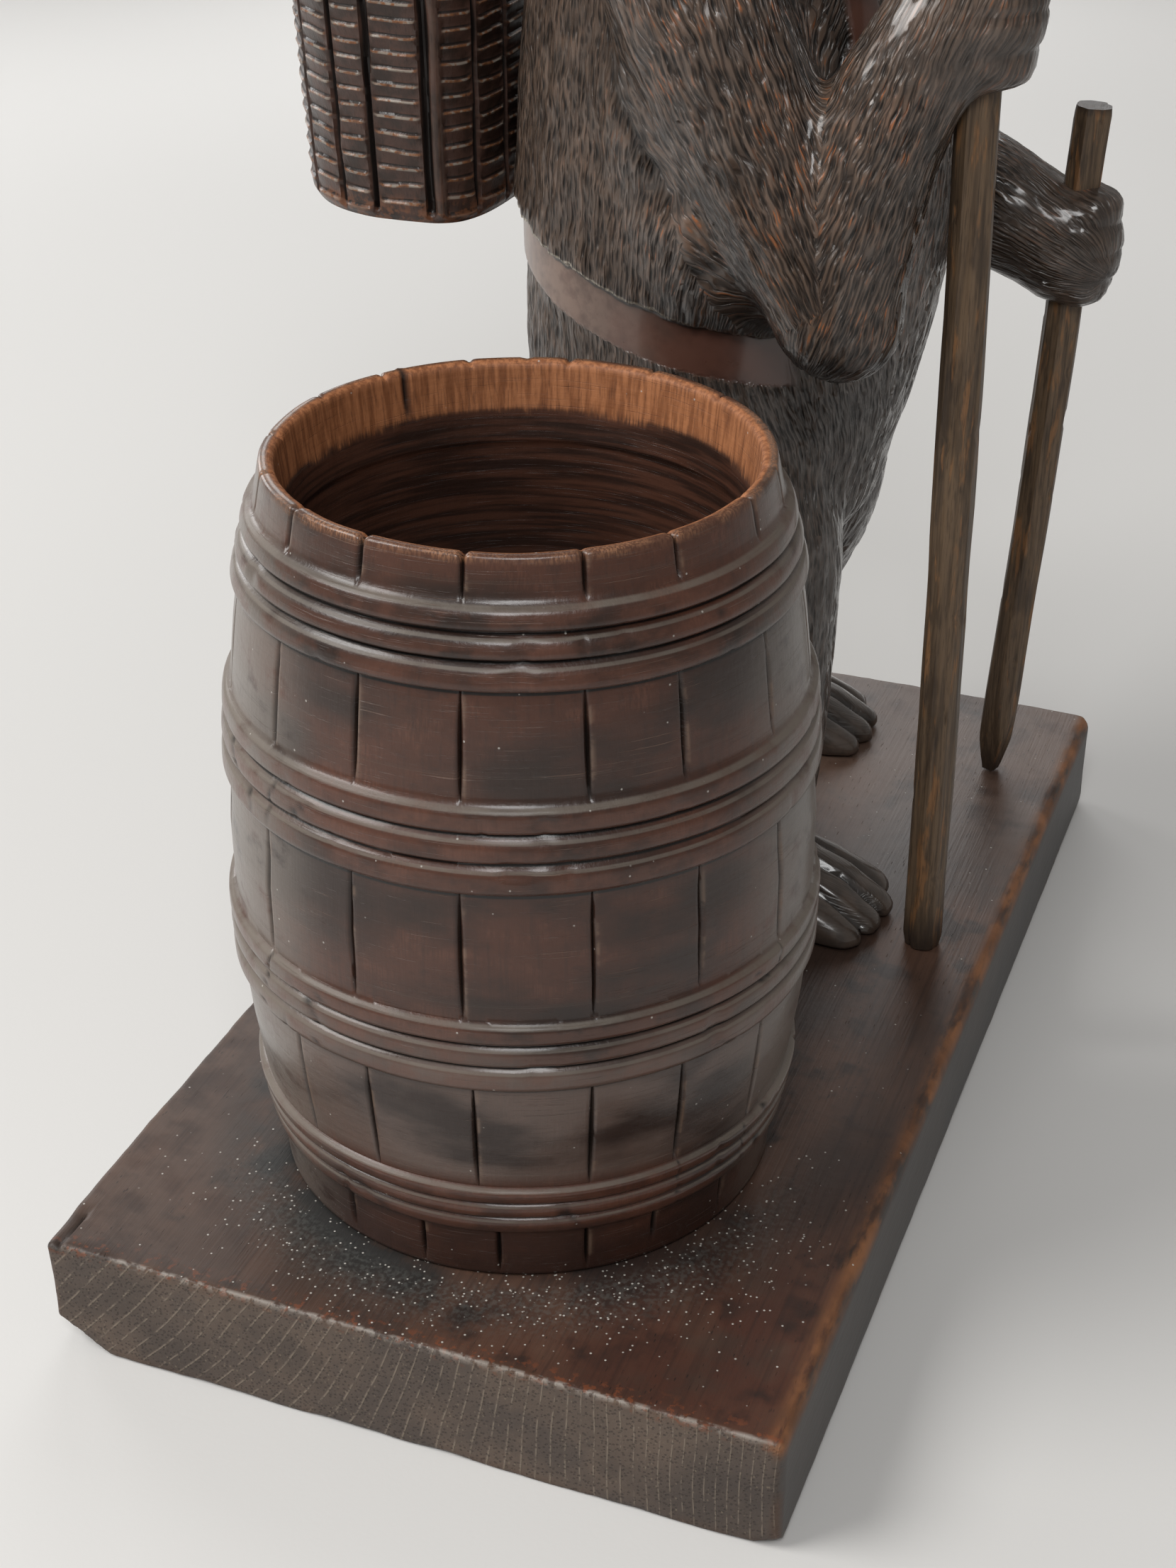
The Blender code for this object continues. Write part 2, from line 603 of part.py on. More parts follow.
# Sticks
def stick_mesh(name, length, radius, point, seed):
    """A whittled stick along +Z: flat facets of uneven width, with a point if it has one."""
    chance = random.Random(seed)
    bm = bmesh.new()
    stations = [0.0]
    if point:
        stations += [point * 0.5, point]
    count = max(2, round((length - point) / STICK_STEP))
    stations += [point + (length - point) * (step + 1) / count for step in range(count)]
    widths = [1.0 + chance.uniform(-WHITTLING, WHITTLING) for _ in range(STICK_SIDES)]
    rings = []
    for height in stations:
        size = radius * (1.0 - WHITTLING)
        if height < point:
            size *= POINT_TIP + (1.0 - POINT_TIP) * math.sin(math.pi / 2 * height / point)
        wander = radius * WHITTLING
        drift = Vector((chance.uniform(-wander, wander), chance.uniform(-wander, wander), height))
        ring = []
        for side, width in enumerate(widths):
            angle = 2.0 * math.pi * side / STICK_SIDES
            spread = size * width
            spoke = Vector((spread * math.cos(angle), spread * math.sin(angle), 0.0))
            ring.append(bm.verts.new(spoke + drift))
        rings.append(ring)
    for low, high in zip(rings, rings[1:]):
        for side in range(STICK_SIDES):
            nxt = (side + 1) % STICK_SIDES
            bm.faces.new((low[side], low[nxt], high[nxt], high[side]))
    bm.faces.new(list(reversed(rings[0])))
    bm.faces.new(rings[-1])
    return mesh_from(bm, name, 50)


def make_stick(name, paw, lean, radius, point, seed):
    """A stick on the plinth that runs through a paw. Returns the cutter for its hole."""
    axis = lean.normalized()
    held = BEAR_ORIGIN + paw * UNIT
    tilt_drop = radius * math.sin(axis.angle(Vector((0.0, 0.0, 1.0))))
    below = (held.z - SEAT - tilt_drop) / axis.z
    turn = Vector((0.0, 0.0, 1.0)).rotation_difference(axis)
    mesh = stick_mesh(name, below + STICK_ABOVE_PAW, radius, point, seed)
    stick = add_object(name, mesh, wood(name + "_wood", (0.075, 0.048, 0.026), 0.60))
    stick.rotation_mode = "QUATERNION"
    stick.rotation_quaternion = turn
    stick.location = held - axis * below
    bm = bmesh.new()
    bore = radius * (1.0 + WHITTLING) + PAW_CLEARANCE
    depth = 2 * PAW_HOLE_REACH * UNIT
    bmesh.ops.create_cone(bm, cap_ends=True, segments=14, radius1=bore, radius2=bore, depth=depth)
    hole = add_object(name + "_hole", mesh_from(bm, name + "_hole"))
    hole.rotation_mode = "QUATERNION"
    hole.rotation_quaternion = turn
    hole.location = held
    return hole


# Basket
def basket_outline(growth, inset, grooved):
    """One closed round of the basket: x outwards from the bear's back, y across."""
    samples = 720
    ring = []
    for step in range(samples):
        angle = 2.0 * math.pi * step / samples
        across, outwards = math.cos(angle), math.sin(angle)
        power = 1.0 if outwards > 0.0 else 0.5
        depth = BASKET_OUTER_DEPTH if outwards > 0.0 else BASKET_INNER_DEPTH
        x = math.copysign(abs(outwards) ** power, outwards) * depth * growth
        y = math.copysign(abs(across) ** power, across) * BASKET_HALF_WIDTH * growth
        ring.append(Vector((x, y, 0.0)))
    lengths = [0.0]
    for point, nxt in zip(ring, ring[1:] + ring[:1]):
        lengths.append(lengths[-1] + (nxt - point).length)
    wanted = BASKET_RIBS * 3
    outline = []
    place = 0
    for mark in range(wanted):
        goal = lengths[-1] * mark / wanted
        while lengths[place + 1] < goal:
            place += 1
        ahead = ring[(place + 1) % samples]
        share = (goal - lengths[place]) / (lengths[place + 1] - lengths[place])
        here = ring[place].lerp(ahead, share)
        tangent = (ahead - ring[place]).normalized()
        inwards = Vector((-tangent.y, tangent.x, 0.0))
        if inwards.dot(here) > 0.0:
            inwards.negate()
        groove = RIB_GROOVE if grooved and mark % 3 == 0 else 0.0
        outline.append(here + inwards * (inset + groove))
    return outline


def make_basket():
    """The back basket: ribbed, flaring, hollow and open at the top."""
    rim = BASKET_HEIGHT - BASKET_RIM
    rows = (   # height, growth, inset, whether the ribs' grooves reach it
        (0.0, 1.0, BASKET_ARRIS, True),
        (BASKET_ARRIS, 1.0, 0.0, True),
        (rim - BASKET_RIM_PROUD, BASKET_FLARE, 0.0, True),
        (rim, BASKET_FLARE, -BASKET_RIM_PROUD, False),
        (BASKET_HEIGHT, BASKET_FLARE, 0.0, False),
        (BASKET_HEIGHT, BASKET_FLARE, BASKET_WALL, False),
        (BASKET_FLOOR, 1.0, BASKET_WALL, False),
    )
    back_reach = BACK_STATION[0] - BACK_STATION[4] - COAT_LIP
    back = BEAR_ORIGIN.x + back_reach * UNIT - FIT_GAP
    bm = bmesh.new()
    rings = []
    for height, growth, inset, grooved in rows:
        outline = basket_outline(growth, inset, grooved)
        # the back board stays upright while the basket flares outwards
        shift = BASKET_INNER_DEPTH * growth
        rings.append([bm.verts.new((-(point.x + shift), point.y, height)) for point in outline])
    count = len(rings[0])
    for low, high in zip(rings, rings[1:]):
        for turn in range(count):
            nxt = (turn + 1) % count
            bm.faces.new((low[turn], low[nxt], high[nxt], high[turn]))
    bm.faces.new(list(reversed(rings[0])))
    bm.faces.new(rings[-1])
    bmesh.ops.recalc_face_normals(bm, faces=bm.faces)
    material = wood("basket_wood", (0.075, 0.042, 0.030), 0.45)
    basket = add_object("basket", mesh_from(bm, "basket", 40), material)
    basket.location = (back, BEAR_ORIGIN.y, BEAR_ORIGIN.z + BASKET_BOTTOM)
    return basket


def build():
    """Clears the scene and makes every piece."""
    for obj in list(bpy.data.objects):
        bpy.data.objects.remove(obj)
    make_plinth()
    make_barrel()
    near_hole = make_stick("near_stick", NEAR_PAW, NEAR_STICK_LEAN, NEAR_STICK_RADIUS, 0.0, 3)
    far_hole = make_stick("far_stick", FAR_PAW, FAR_STICK_LEAN, FAR_STICK_RADIUS, POINT_LENGTH, 8)
    make_bear([near_hole, far_hole])
    make_basket()


build()
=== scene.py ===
"""The looks of the carved bear bottle holder, dressed over its CAD frame.

Everything is in the frame's metres. Sculpting is done in millimetres and put back at the end.
"""

import math
import random

import bmesh
import bpy
import numpy as np
from mathutils import Matrix, Vector, kdtree


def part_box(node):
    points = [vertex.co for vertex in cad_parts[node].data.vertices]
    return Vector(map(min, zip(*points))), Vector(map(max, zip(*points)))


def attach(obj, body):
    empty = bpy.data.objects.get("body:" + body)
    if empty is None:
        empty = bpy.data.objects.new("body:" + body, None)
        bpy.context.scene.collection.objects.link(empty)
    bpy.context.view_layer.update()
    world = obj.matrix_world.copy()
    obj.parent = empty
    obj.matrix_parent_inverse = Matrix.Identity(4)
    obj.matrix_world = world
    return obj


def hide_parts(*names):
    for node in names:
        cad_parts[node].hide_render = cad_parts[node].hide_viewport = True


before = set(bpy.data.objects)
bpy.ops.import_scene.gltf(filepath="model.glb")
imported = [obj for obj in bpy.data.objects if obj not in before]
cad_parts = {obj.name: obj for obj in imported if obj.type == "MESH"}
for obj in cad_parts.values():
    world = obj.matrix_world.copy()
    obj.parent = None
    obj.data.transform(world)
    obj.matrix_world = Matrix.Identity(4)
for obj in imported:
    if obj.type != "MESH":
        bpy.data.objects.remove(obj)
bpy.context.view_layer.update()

MM = 0.001
FACING = math.radians(-67.2)      # the side of the barrel that the photograph looks at


def clear_choice():
    """Nothing stays selected, so that the next operator acts on its own piece."""
    bpy.ops.object.select_all(action="DESELECT")


def choose(*pieces):
    """Selects these pieces alone, with the first one active."""
    clear_choice()
    for piece in pieces:
        piece.select_set(True)
    bpy.context.view_layer.objects.active = pieces[0]


# Numbers for sculpting
def hashed(cells, seed):
    """A settled number from 0 to 1 for each cell of whole numbers."""
    mixed = np.full(cells.shape[:-1], np.uint64(seed + 1) * np.uint64(0x2545F4914F6CDD1D), np.uint64)
    for axis in range(cells.shape[-1]):
        mixed ^= cells[..., axis].astype(np.int64).astype(np.uint64)
        mixed *= np.uint64(0x9E3779B97F4A7C15)
        mixed ^= mixed >> np.uint64(29)
    mixed *= np.uint64(0xBF58476D1CE4E5B9)
    mixed ^= mixed >> np.uint64(32)
    return (mixed >> np.uint64(40)) / float(1 << 24)


def drift(points, size, seed):
    """Smooth noise from -1 to 1 whose bumps have this size."""
    place = points / np.asarray(size, float)
    cell = np.floor(place)
    part = place - cell
    part = part * part * (3.0 - 2.0 * part)
    total = np.zeros(len(points))
    for corner in np.ndindex(*(2,) * points.shape[1]):
        share = np.ones(len(points))
        for axis, step in enumerate(corner):
            share *= part[:, axis] if step else 1.0 - part[:, axis]
        total += share * hashed(cell + np.array(corner), seed)
    return 2.0 * total - 1.0


def ramp(values, low, high):
    """0 below low, 1 above high and smooth between them. It falls where low is over high."""
    part = np.clip((values - low) / (high - low), 0.0, 1.0)
    return part * part * (3.0 - 2.0 * part)


def knife_marks(across, along, width, length, seed, loose=0.6, lean=0.12):
    """How deep each point lies in a carver's short tapering cuts, from 0 to 1."""
    column = np.floor(across / width)
    deepest = np.zeros(len(across))
    for side in (-1, 0, 1):
        here = column + side
        stagger = hashed(here[:, None], seed) * length
        row = np.floor((along + stagger) / length)
        for step in (-1, 0, 1):
            cell = np.stack([here, row + step], 1)
            chance = [hashed(cell, seed + count) for count in range(1, 5)]
            middle = (here + 0.5 + (chance[0] - 0.5) * loose) * width
            height = (row + step + 0.5 + (chance[1] - 0.5) * 0.5) * length - stagger
            reach = length * (0.42 + 0.30 * chance[2])
            taper = np.clip(1.0 - ((along - height) / reach) ** 2, 0.0, 1.0)
            aside = np.abs(across - middle - (chance[3] - 0.5) * lean * (along - height))
            cut = np.clip(1.0 - aside / (width * 0.55 * taper + 1e-6), 0.0, 1.0)
            deepest = np.maximum(deepest, cut * taper * (0.55 + 0.45 * chance[2]))
    return deepest


# Meshes
def points_of(piece):
    """A piece's points in millimetres."""
    flat = np.empty(len(piece.data.vertices) * 3)
    piece.data.vertices.foreach_get("co", flat)
    return flat.reshape(-1, 3) / MM


def normals_of(piece):
    """The way that each point of a piece faces."""
    flat = np.empty(len(piece.data.vertices) * 3)
    piece.data.vertex_normals.foreach_get("vector", flat)
    return flat.reshape(-1, 3)


def put_points(piece, points):
    """Moves a piece's points to these places in millimetres."""
    piece.data.vertices.foreach_set("co", (points * MM).ravel())
    piece.data.update()


def mark(piece, name, values):
    """Stores a number for each point, which the piece's finish reads."""
    layer = piece.data.attributes.new(name, "FLOAT", "POINT")
    layer.data.foreach_set("value", values.astype(np.float32))


def edit_all(piece, select=True, kind="VERT"):
    """Opens a piece for editing with everything selected or nothing."""
    choose(piece)
    bpy.ops.object.mode_set(mode="EDIT")
    bpy.ops.mesh.select_mode(type=kind)
    bpy.ops.mesh.select_all(action="SELECT" if select else "DESELECT")


def done_editing():
    """Leaves edit mode."""
    bpy.ops.object.mode_set(mode="OBJECT")


def divide(piece, axis, cuts):
    """Divides every edge that runs along an axis into cuts + 1 even lengths."""
    edit_all(piece, select=False, kind="EDGE")
    bm = bmesh.from_edit_mesh(piece.data)
    for edge in bm.edges:
        run = edge.verts[1].co - edge.verts[0].co
        edge.select = abs(run[axis]) > 0.98 * run.length
    bmesh.update_edit_mesh(piece.data)
    bpy.ops.mesh.subdivide(number_cuts=cuts)
    done_editing()


def use_modifier(piece, kind, **settings):
    """Adds a modifier and applies it."""
    choose(piece)
    modifier = piece.modifiers.new(kind.lower(), kind)
    for name, setting in settings.items():
        setattr(modifier, name, setting)
    bpy.ops.object.modifier_apply(modifier=modifier.name)


def tidy_normals(piece):
    """Merges doubles and turns every face outwards."""
    edit_all(piece)
    bpy.ops.mesh.remove_doubles(threshold=1e-6)
    bpy.ops.mesh.normals_make_consistent(inside=False)
    done_editing()


def finish_piece(piece, node, material, angle=None):
    """Gives a piece its finish and puts it in its CAD node's place."""
    choose(piece)
    if angle is None:
        bpy.ops.object.shade_smooth()
    else:
        bpy.ops.object.shade_smooth_by_angle(angle=math.radians(angle))
    piece.data.materials.clear()
    piece.data.materials.append(material)
    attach(piece, "root")
    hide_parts(node)
    clear_choice()


# Finishes
class Wire:
    """A socket of a finish, so that sums can be written with it."""

    def __init__(self, finish, socket):
        self.finish = finish
        self.socket = socket

    def sum(self, operation, *others, first=None):
        """One Math node on this value and the others."""
        values = [self, *others] if first is None else [first, self]
        return self.finish.node("ShaderNodeMath", dict(enumerate(values)), operation=operation)

    def __add__(self, other):
        return self.sum("ADD", other)

    def __radd__(self, other):
        return self.sum("ADD", other)

    def __sub__(self, other):
        return self.sum("SUBTRACT", other)

    def __rsub__(self, other):
        return self.sum("SUBTRACT", first=other)

    def __mul__(self, other):
        return self.sum("MULTIPLY", other)

    def __rmul__(self, other):
        return self.sum("MULTIPLY", other)

    def __truediv__(self, other):
        return self.sum("DIVIDE", other)

    def __rtruediv__(self, other):
        return self.sum("DIVIDE", first=other)

    def __pow__(self, other):
        return self.sum("POWER", other)

    def __neg__(self):
        return self.sum("MULTIPLY", -1.0)

    def size(self):
        """The value without its sign."""
        return self.sum("ABSOLUTE")

    def least(self, other):
        """The lesser of the two."""
        return self.sum("MINIMUM", other)

    def most(self, other):
        """The greater of the two."""
        return self.sum("MAXIMUM", other)

    def ramp(self, low, high, start=0.0, end=1.0):
        """start below low, end above high and smooth between them."""
        if low > high:
            low, high, start, end = high, low, end, start
        values = dict(enumerate((self, low, high, start, end)))
        return self.finish.node("ShaderNodeMapRange", values, interpolation_type="SMOOTHSTEP")

    def part(self, axis):
        """One coordinate of a vector."""
        return self.finish.node("ShaderNodeSeparateXYZ", {0: self}, out=axis)

    def scaled(self, *factors):
        """A vector with each coordinate times its own factor."""
        values = {0: self, 1: factors if len(factors) == 3 else factors * 3}
        return self.finish.node("ShaderNodeVectorMath", values, operation="MULTIPLY")

    def moved(self, other):
        """A vector plus another one."""
        return self.finish.node("ShaderNodeVectorMath", {0: self, 1: other}, operation="ADD")


class Finish:
    """A procedural wood finish. Places are in millimetres."""

    def __init__(self, name):
        self.material = bpy.data.materials.new(name)
        self.material.use_nodes = True
        self.nodes = self.material.node_tree.nodes
        self.links = self.material.node_tree.links
        self.shader = self.nodes["Principled BSDF"]
        self.place = self.node("ShaderNodeTexCoord", out="Object").scaled(1.0 / MM)

    def node(self, kind, values=None, out=0, stops=None, **settings):
        """Makes a node, with its settings first and then its values or links."""
        made = self.nodes.new(kind)
        for name, setting in settings.items():
            setattr(made, name, setting)
        if stops:
            self.put_stops(made.color_ramp, stops)
        self.feed(made, values or {})
        return Wire(self, made.outputs[out])

    def put_stops(self, band, stops):
        """Gives a colour ramp its stops."""
        while len(band.elements) < len(stops):
            band.elements.new(0.5)
        for element, (position, colour) in zip(band.elements, stops):
            element.position = position
            element.color = (*colour, 1.0)

    def feed(self, node, values):
        """Links or sets a node's sockets."""
        for key, value in values.items():
            if isinstance(value, Wire):
                self.links.new(value.socket, node.inputs[key])
            elif isinstance(value, tuple) and node.inputs[key].type == "RGBA":
                node.inputs[key].default_value = (*value, 1.0)
            else:
                node.inputs[key].default_value = value

    def marked(self, name):
        """A number stored on the piece's points."""
        return self.node("ShaderNodeAttribute", out="Fac", attribute_name=name)

    def grain(self, size, place=None, detail=3.0, rough=0.55, twist=0.0):
        """Noise from 0 to 1 whose bumps have this size, which may differ along X, Y and Z."""
        sizes = size if isinstance(size, tuple) else (size,) * 3
        place = (self.place if place is None else place).scaled(*(1.0 / each for each in sizes))
        values = {"Vector": place, "Scale": 1.0, "Detail": detail, "Roughness": rough}
        values["Distortion"] = twist
        return self.node("ShaderNodeTexNoise", values)

    def cells(self, size, place=None, feature="F1", out="Distance", dimensions="3D"):
        """Voronoi cells of this size."""
        sizes = size if isinstance(size, tuple) else (size,) * 3
        place = (self.place if place is None else place).scaled(*(1.0 / each for each in sizes))
        values = {"Vector": place, "Scale": 1.0}
        settings = {"feature": feature, "voronoi_dimensions": dimensions}
        return self.node("ShaderNodeTexVoronoi", values, out=out, **settings)

    def mix(self, share, first, second, blend="MIX"):
        """Two colours mixed."""
        values = {0: share, 6: first, 7: second}
        return self.node("ShaderNodeMix", values, out=2, data_type="RGBA", blend_type=blend)

    def bump(self, height, strength=1.0):
        """Turns a height in millimetres into relief."""
        values = {"Strength": strength, "Distance": MM, "Height": height}
        return self.node("ShaderNodeBump", values, out="Normal")

    def wear(self, colour, roughness, height, polish=0.0, polish_rough=0.2):
        """Feeds the shader and gives back the material. Polish is a thin wax over the wood."""
        values = {"Base Color": colour, "Roughness": roughness, "Metallic": 0.0, "Specular IOR Level": 0.36}
        values.update({"Coat Weight": polish, "Coat Roughness": polish_rough})
        values["Normal"] = self.bump(height)
        self.feed(self.shader, values)
        return self.material


# Colours, as linear light
NEAR_BLACK = (0.010, 0.0075, 0.006)
DARK_BROWN = (0.030, 0.018, 0.0135)
RED_BROWN = (0.062, 0.026, 0.016)
WARM_BROWN = (0.095, 0.045, 0.024)
WORN_ORANGE = (0.27, 0.115, 0.048)
RAW_WOOD = (0.36, 0.20, 0.105)
GREY_BLOOM = (0.085, 0.078, 0.072)
PALE_DUST = (0.22, 0.205, 0.185)
CHALK = (0.50, 0.48, 0.44)


# Plinth
def plank_grid(name, low, high, cuts):
    """A box divided into a fine net that is closer near its edges."""
    clear_choice()
    bpy.ops.mesh.primitive_cube_add(size=1.0)
    piece = bpy.context.object
    piece.name = name
    for axis, count in enumerate(cuts):
        for share in count:
            divide(piece, axis, share)
    points = points_of(piece) * MM * 2.0
    middle, half = (low + high) / 2.0, (high - low) / 2.0
    closer = 0.36 * points + 0.64 * np.sin(points * math.pi / 2.0)
    put_points(piece, closer * half + middle)
    return piece


def make_plank():
    """The plinth: a plank with worn, chipped edges, end grain and dust round the barrel's foot."""
    low, high = (np.array(corner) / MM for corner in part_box("plinth"))
    piece = plank_grid("plank", low, high, ((100,), (100, 1), (17,)))
    points = points_of(piece)
    middle, half = (low + high) / 2.0, (high - low) / 2.0
    local = points - middle
    gaps = half - np.abs(local)
    side = np.sign(local)
    # each edge's rounding: (axis, sign, axis, sign, radius, unevenness)
    edges = (
        (0, 1, 2, 1, 3.4, 0.9), (0, -1, 2, 1, 1.6, 0.7), (1, -1, 2, 1, 0.7, 0.25),
        (1, 1, 2, 1, 2.0, 0.6), (0, 1, 2, -1, 1.5, 0.4), (0, -1, 2, -1, 1.5, 0.5),
        (1, -1, 2, -1, 1.6, 0.6), (1, 1, 2, -1, 1.6, 0.5), (0, -1, 1, -1, 2.6, 0.6),
        (0, 1, 1, -1, 2.4, 0.6), (0, 1, 1, 1, 4.5, 0.6), (0, -1, 1, 1, 2.6, 0.5),
    )
    total, weight = np.zeros(len(points)), np.zeros(len(points))
    for first, first_sign, second, second_sign, radius, uneven in edges:
        away = np.hypot(
            half[first] - first_sign * local[:, first], half[second] - second_sign * local[:, second]
        )
        share = np.exp(-away / 3.5) + 1e-9
        total += share * (radius + uneven * drift(points, 9.0, 3) + 0.5 * uneven * drift(points, 3.0, 4))
        weight += share
    radius = np.clip(total / weight, 0.5, 6.0)[:, None]
    core = np.clip(local, radius - half, half - radius)
    spoke = local - core
    length = np.linalg.norm(spoke, axis=1, keepdims=True)
    local = core + spoke / np.maximum(length, 1e-9) * radius
    # corners knocked off underneath
    for way, share in (((-1, -1, -1), 1.0), ((1, -1, -1), 0.5), ((1, 1, -1), 0.5)):
        reach = np.array((16.0, 10.0, 9.0)) * share
        normal = np.array(way) / reach
        normal /= np.linalg.norm(normal)
        inner = half * np.array(way)
        inner[0] -= way[0] * reach[0]
        over = (local - inner) @ normal + 0.35 * drift(points, 5.0, 8)
        local -= np.clip(over, 0.0, None)[:, None] * normal * 0.94
    # chips along the near top edge
    near_top = np.exp(-(((half[1] + local[:, 1]) / 1.6) ** 2) - ((half[2] - local[:, 2]) / 1.6) ** 2)
    chips = ramp(drift(points[:, :1], 2.6, 12), 0.15, 0.7) * ramp(drift(points[:, :1], 14.0, 13), -0.3, 0.4)
    local[:, 2] -= 0.34 * near_top * chips
    local[:, 1] += 0.30 * near_top * chips
    # the split sliver at the near left corner
    from_left, from_near = local[:, 0] + half[0], local[:, 1] + half[1]
    top = ramp(local[:, 2], half[2] - 3.0, half[2] - 0.5)
    split_at = 3.2 + 0.06 * from_near
    length_wise = ramp(from_near, 15.0, 9.0)
    crack = np.exp(-(((from_left - split_at) / 0.55) ** 2)) * length_wise * top
    sliver = ramp(from_left, split_at, split_at - 0.8) * length_wise * top
    local[:, 2] -= 1.6 * crack + 0.9 * sliver
    # gentle hollows of long use
    flat = top * ramp(np.minimum(gaps[:, 0], gaps[:, 1]), 2.0, 8.0)
    local[:, 2] -= flat * (0.10 + 0.10 * drift(points, 30.0, 21))
    put_points(piece, local + middle)
    edge = np.sort(gaps, axis=1)[:, 1]
    front_top = ramp(np.hypot(half[0] - local[:, 0], half[2] - local[:, 2]), 6.5, 1.0)
    near_line = ramp(np.hypot(half[1] + local[:, 1], half[2] - local[:, 2]), 1.1, 0.35)
    mark(piece, "edge", ramp(edge, 3.0, 0.3))
    mark(piece, "front_edge", front_top)
    mark(piece, "near_line", near_line)
    mark(piece, "near_top", ramp(from_near, 7.0, 0.5) * top)
    mark(piece, "crack", np.clip(crack + 0.35 * sliver, 0, 1))
    mark(piece, "sliver", sliver)
    finish_piece(piece, "plinth", plank_finish(), 50)
    return piece


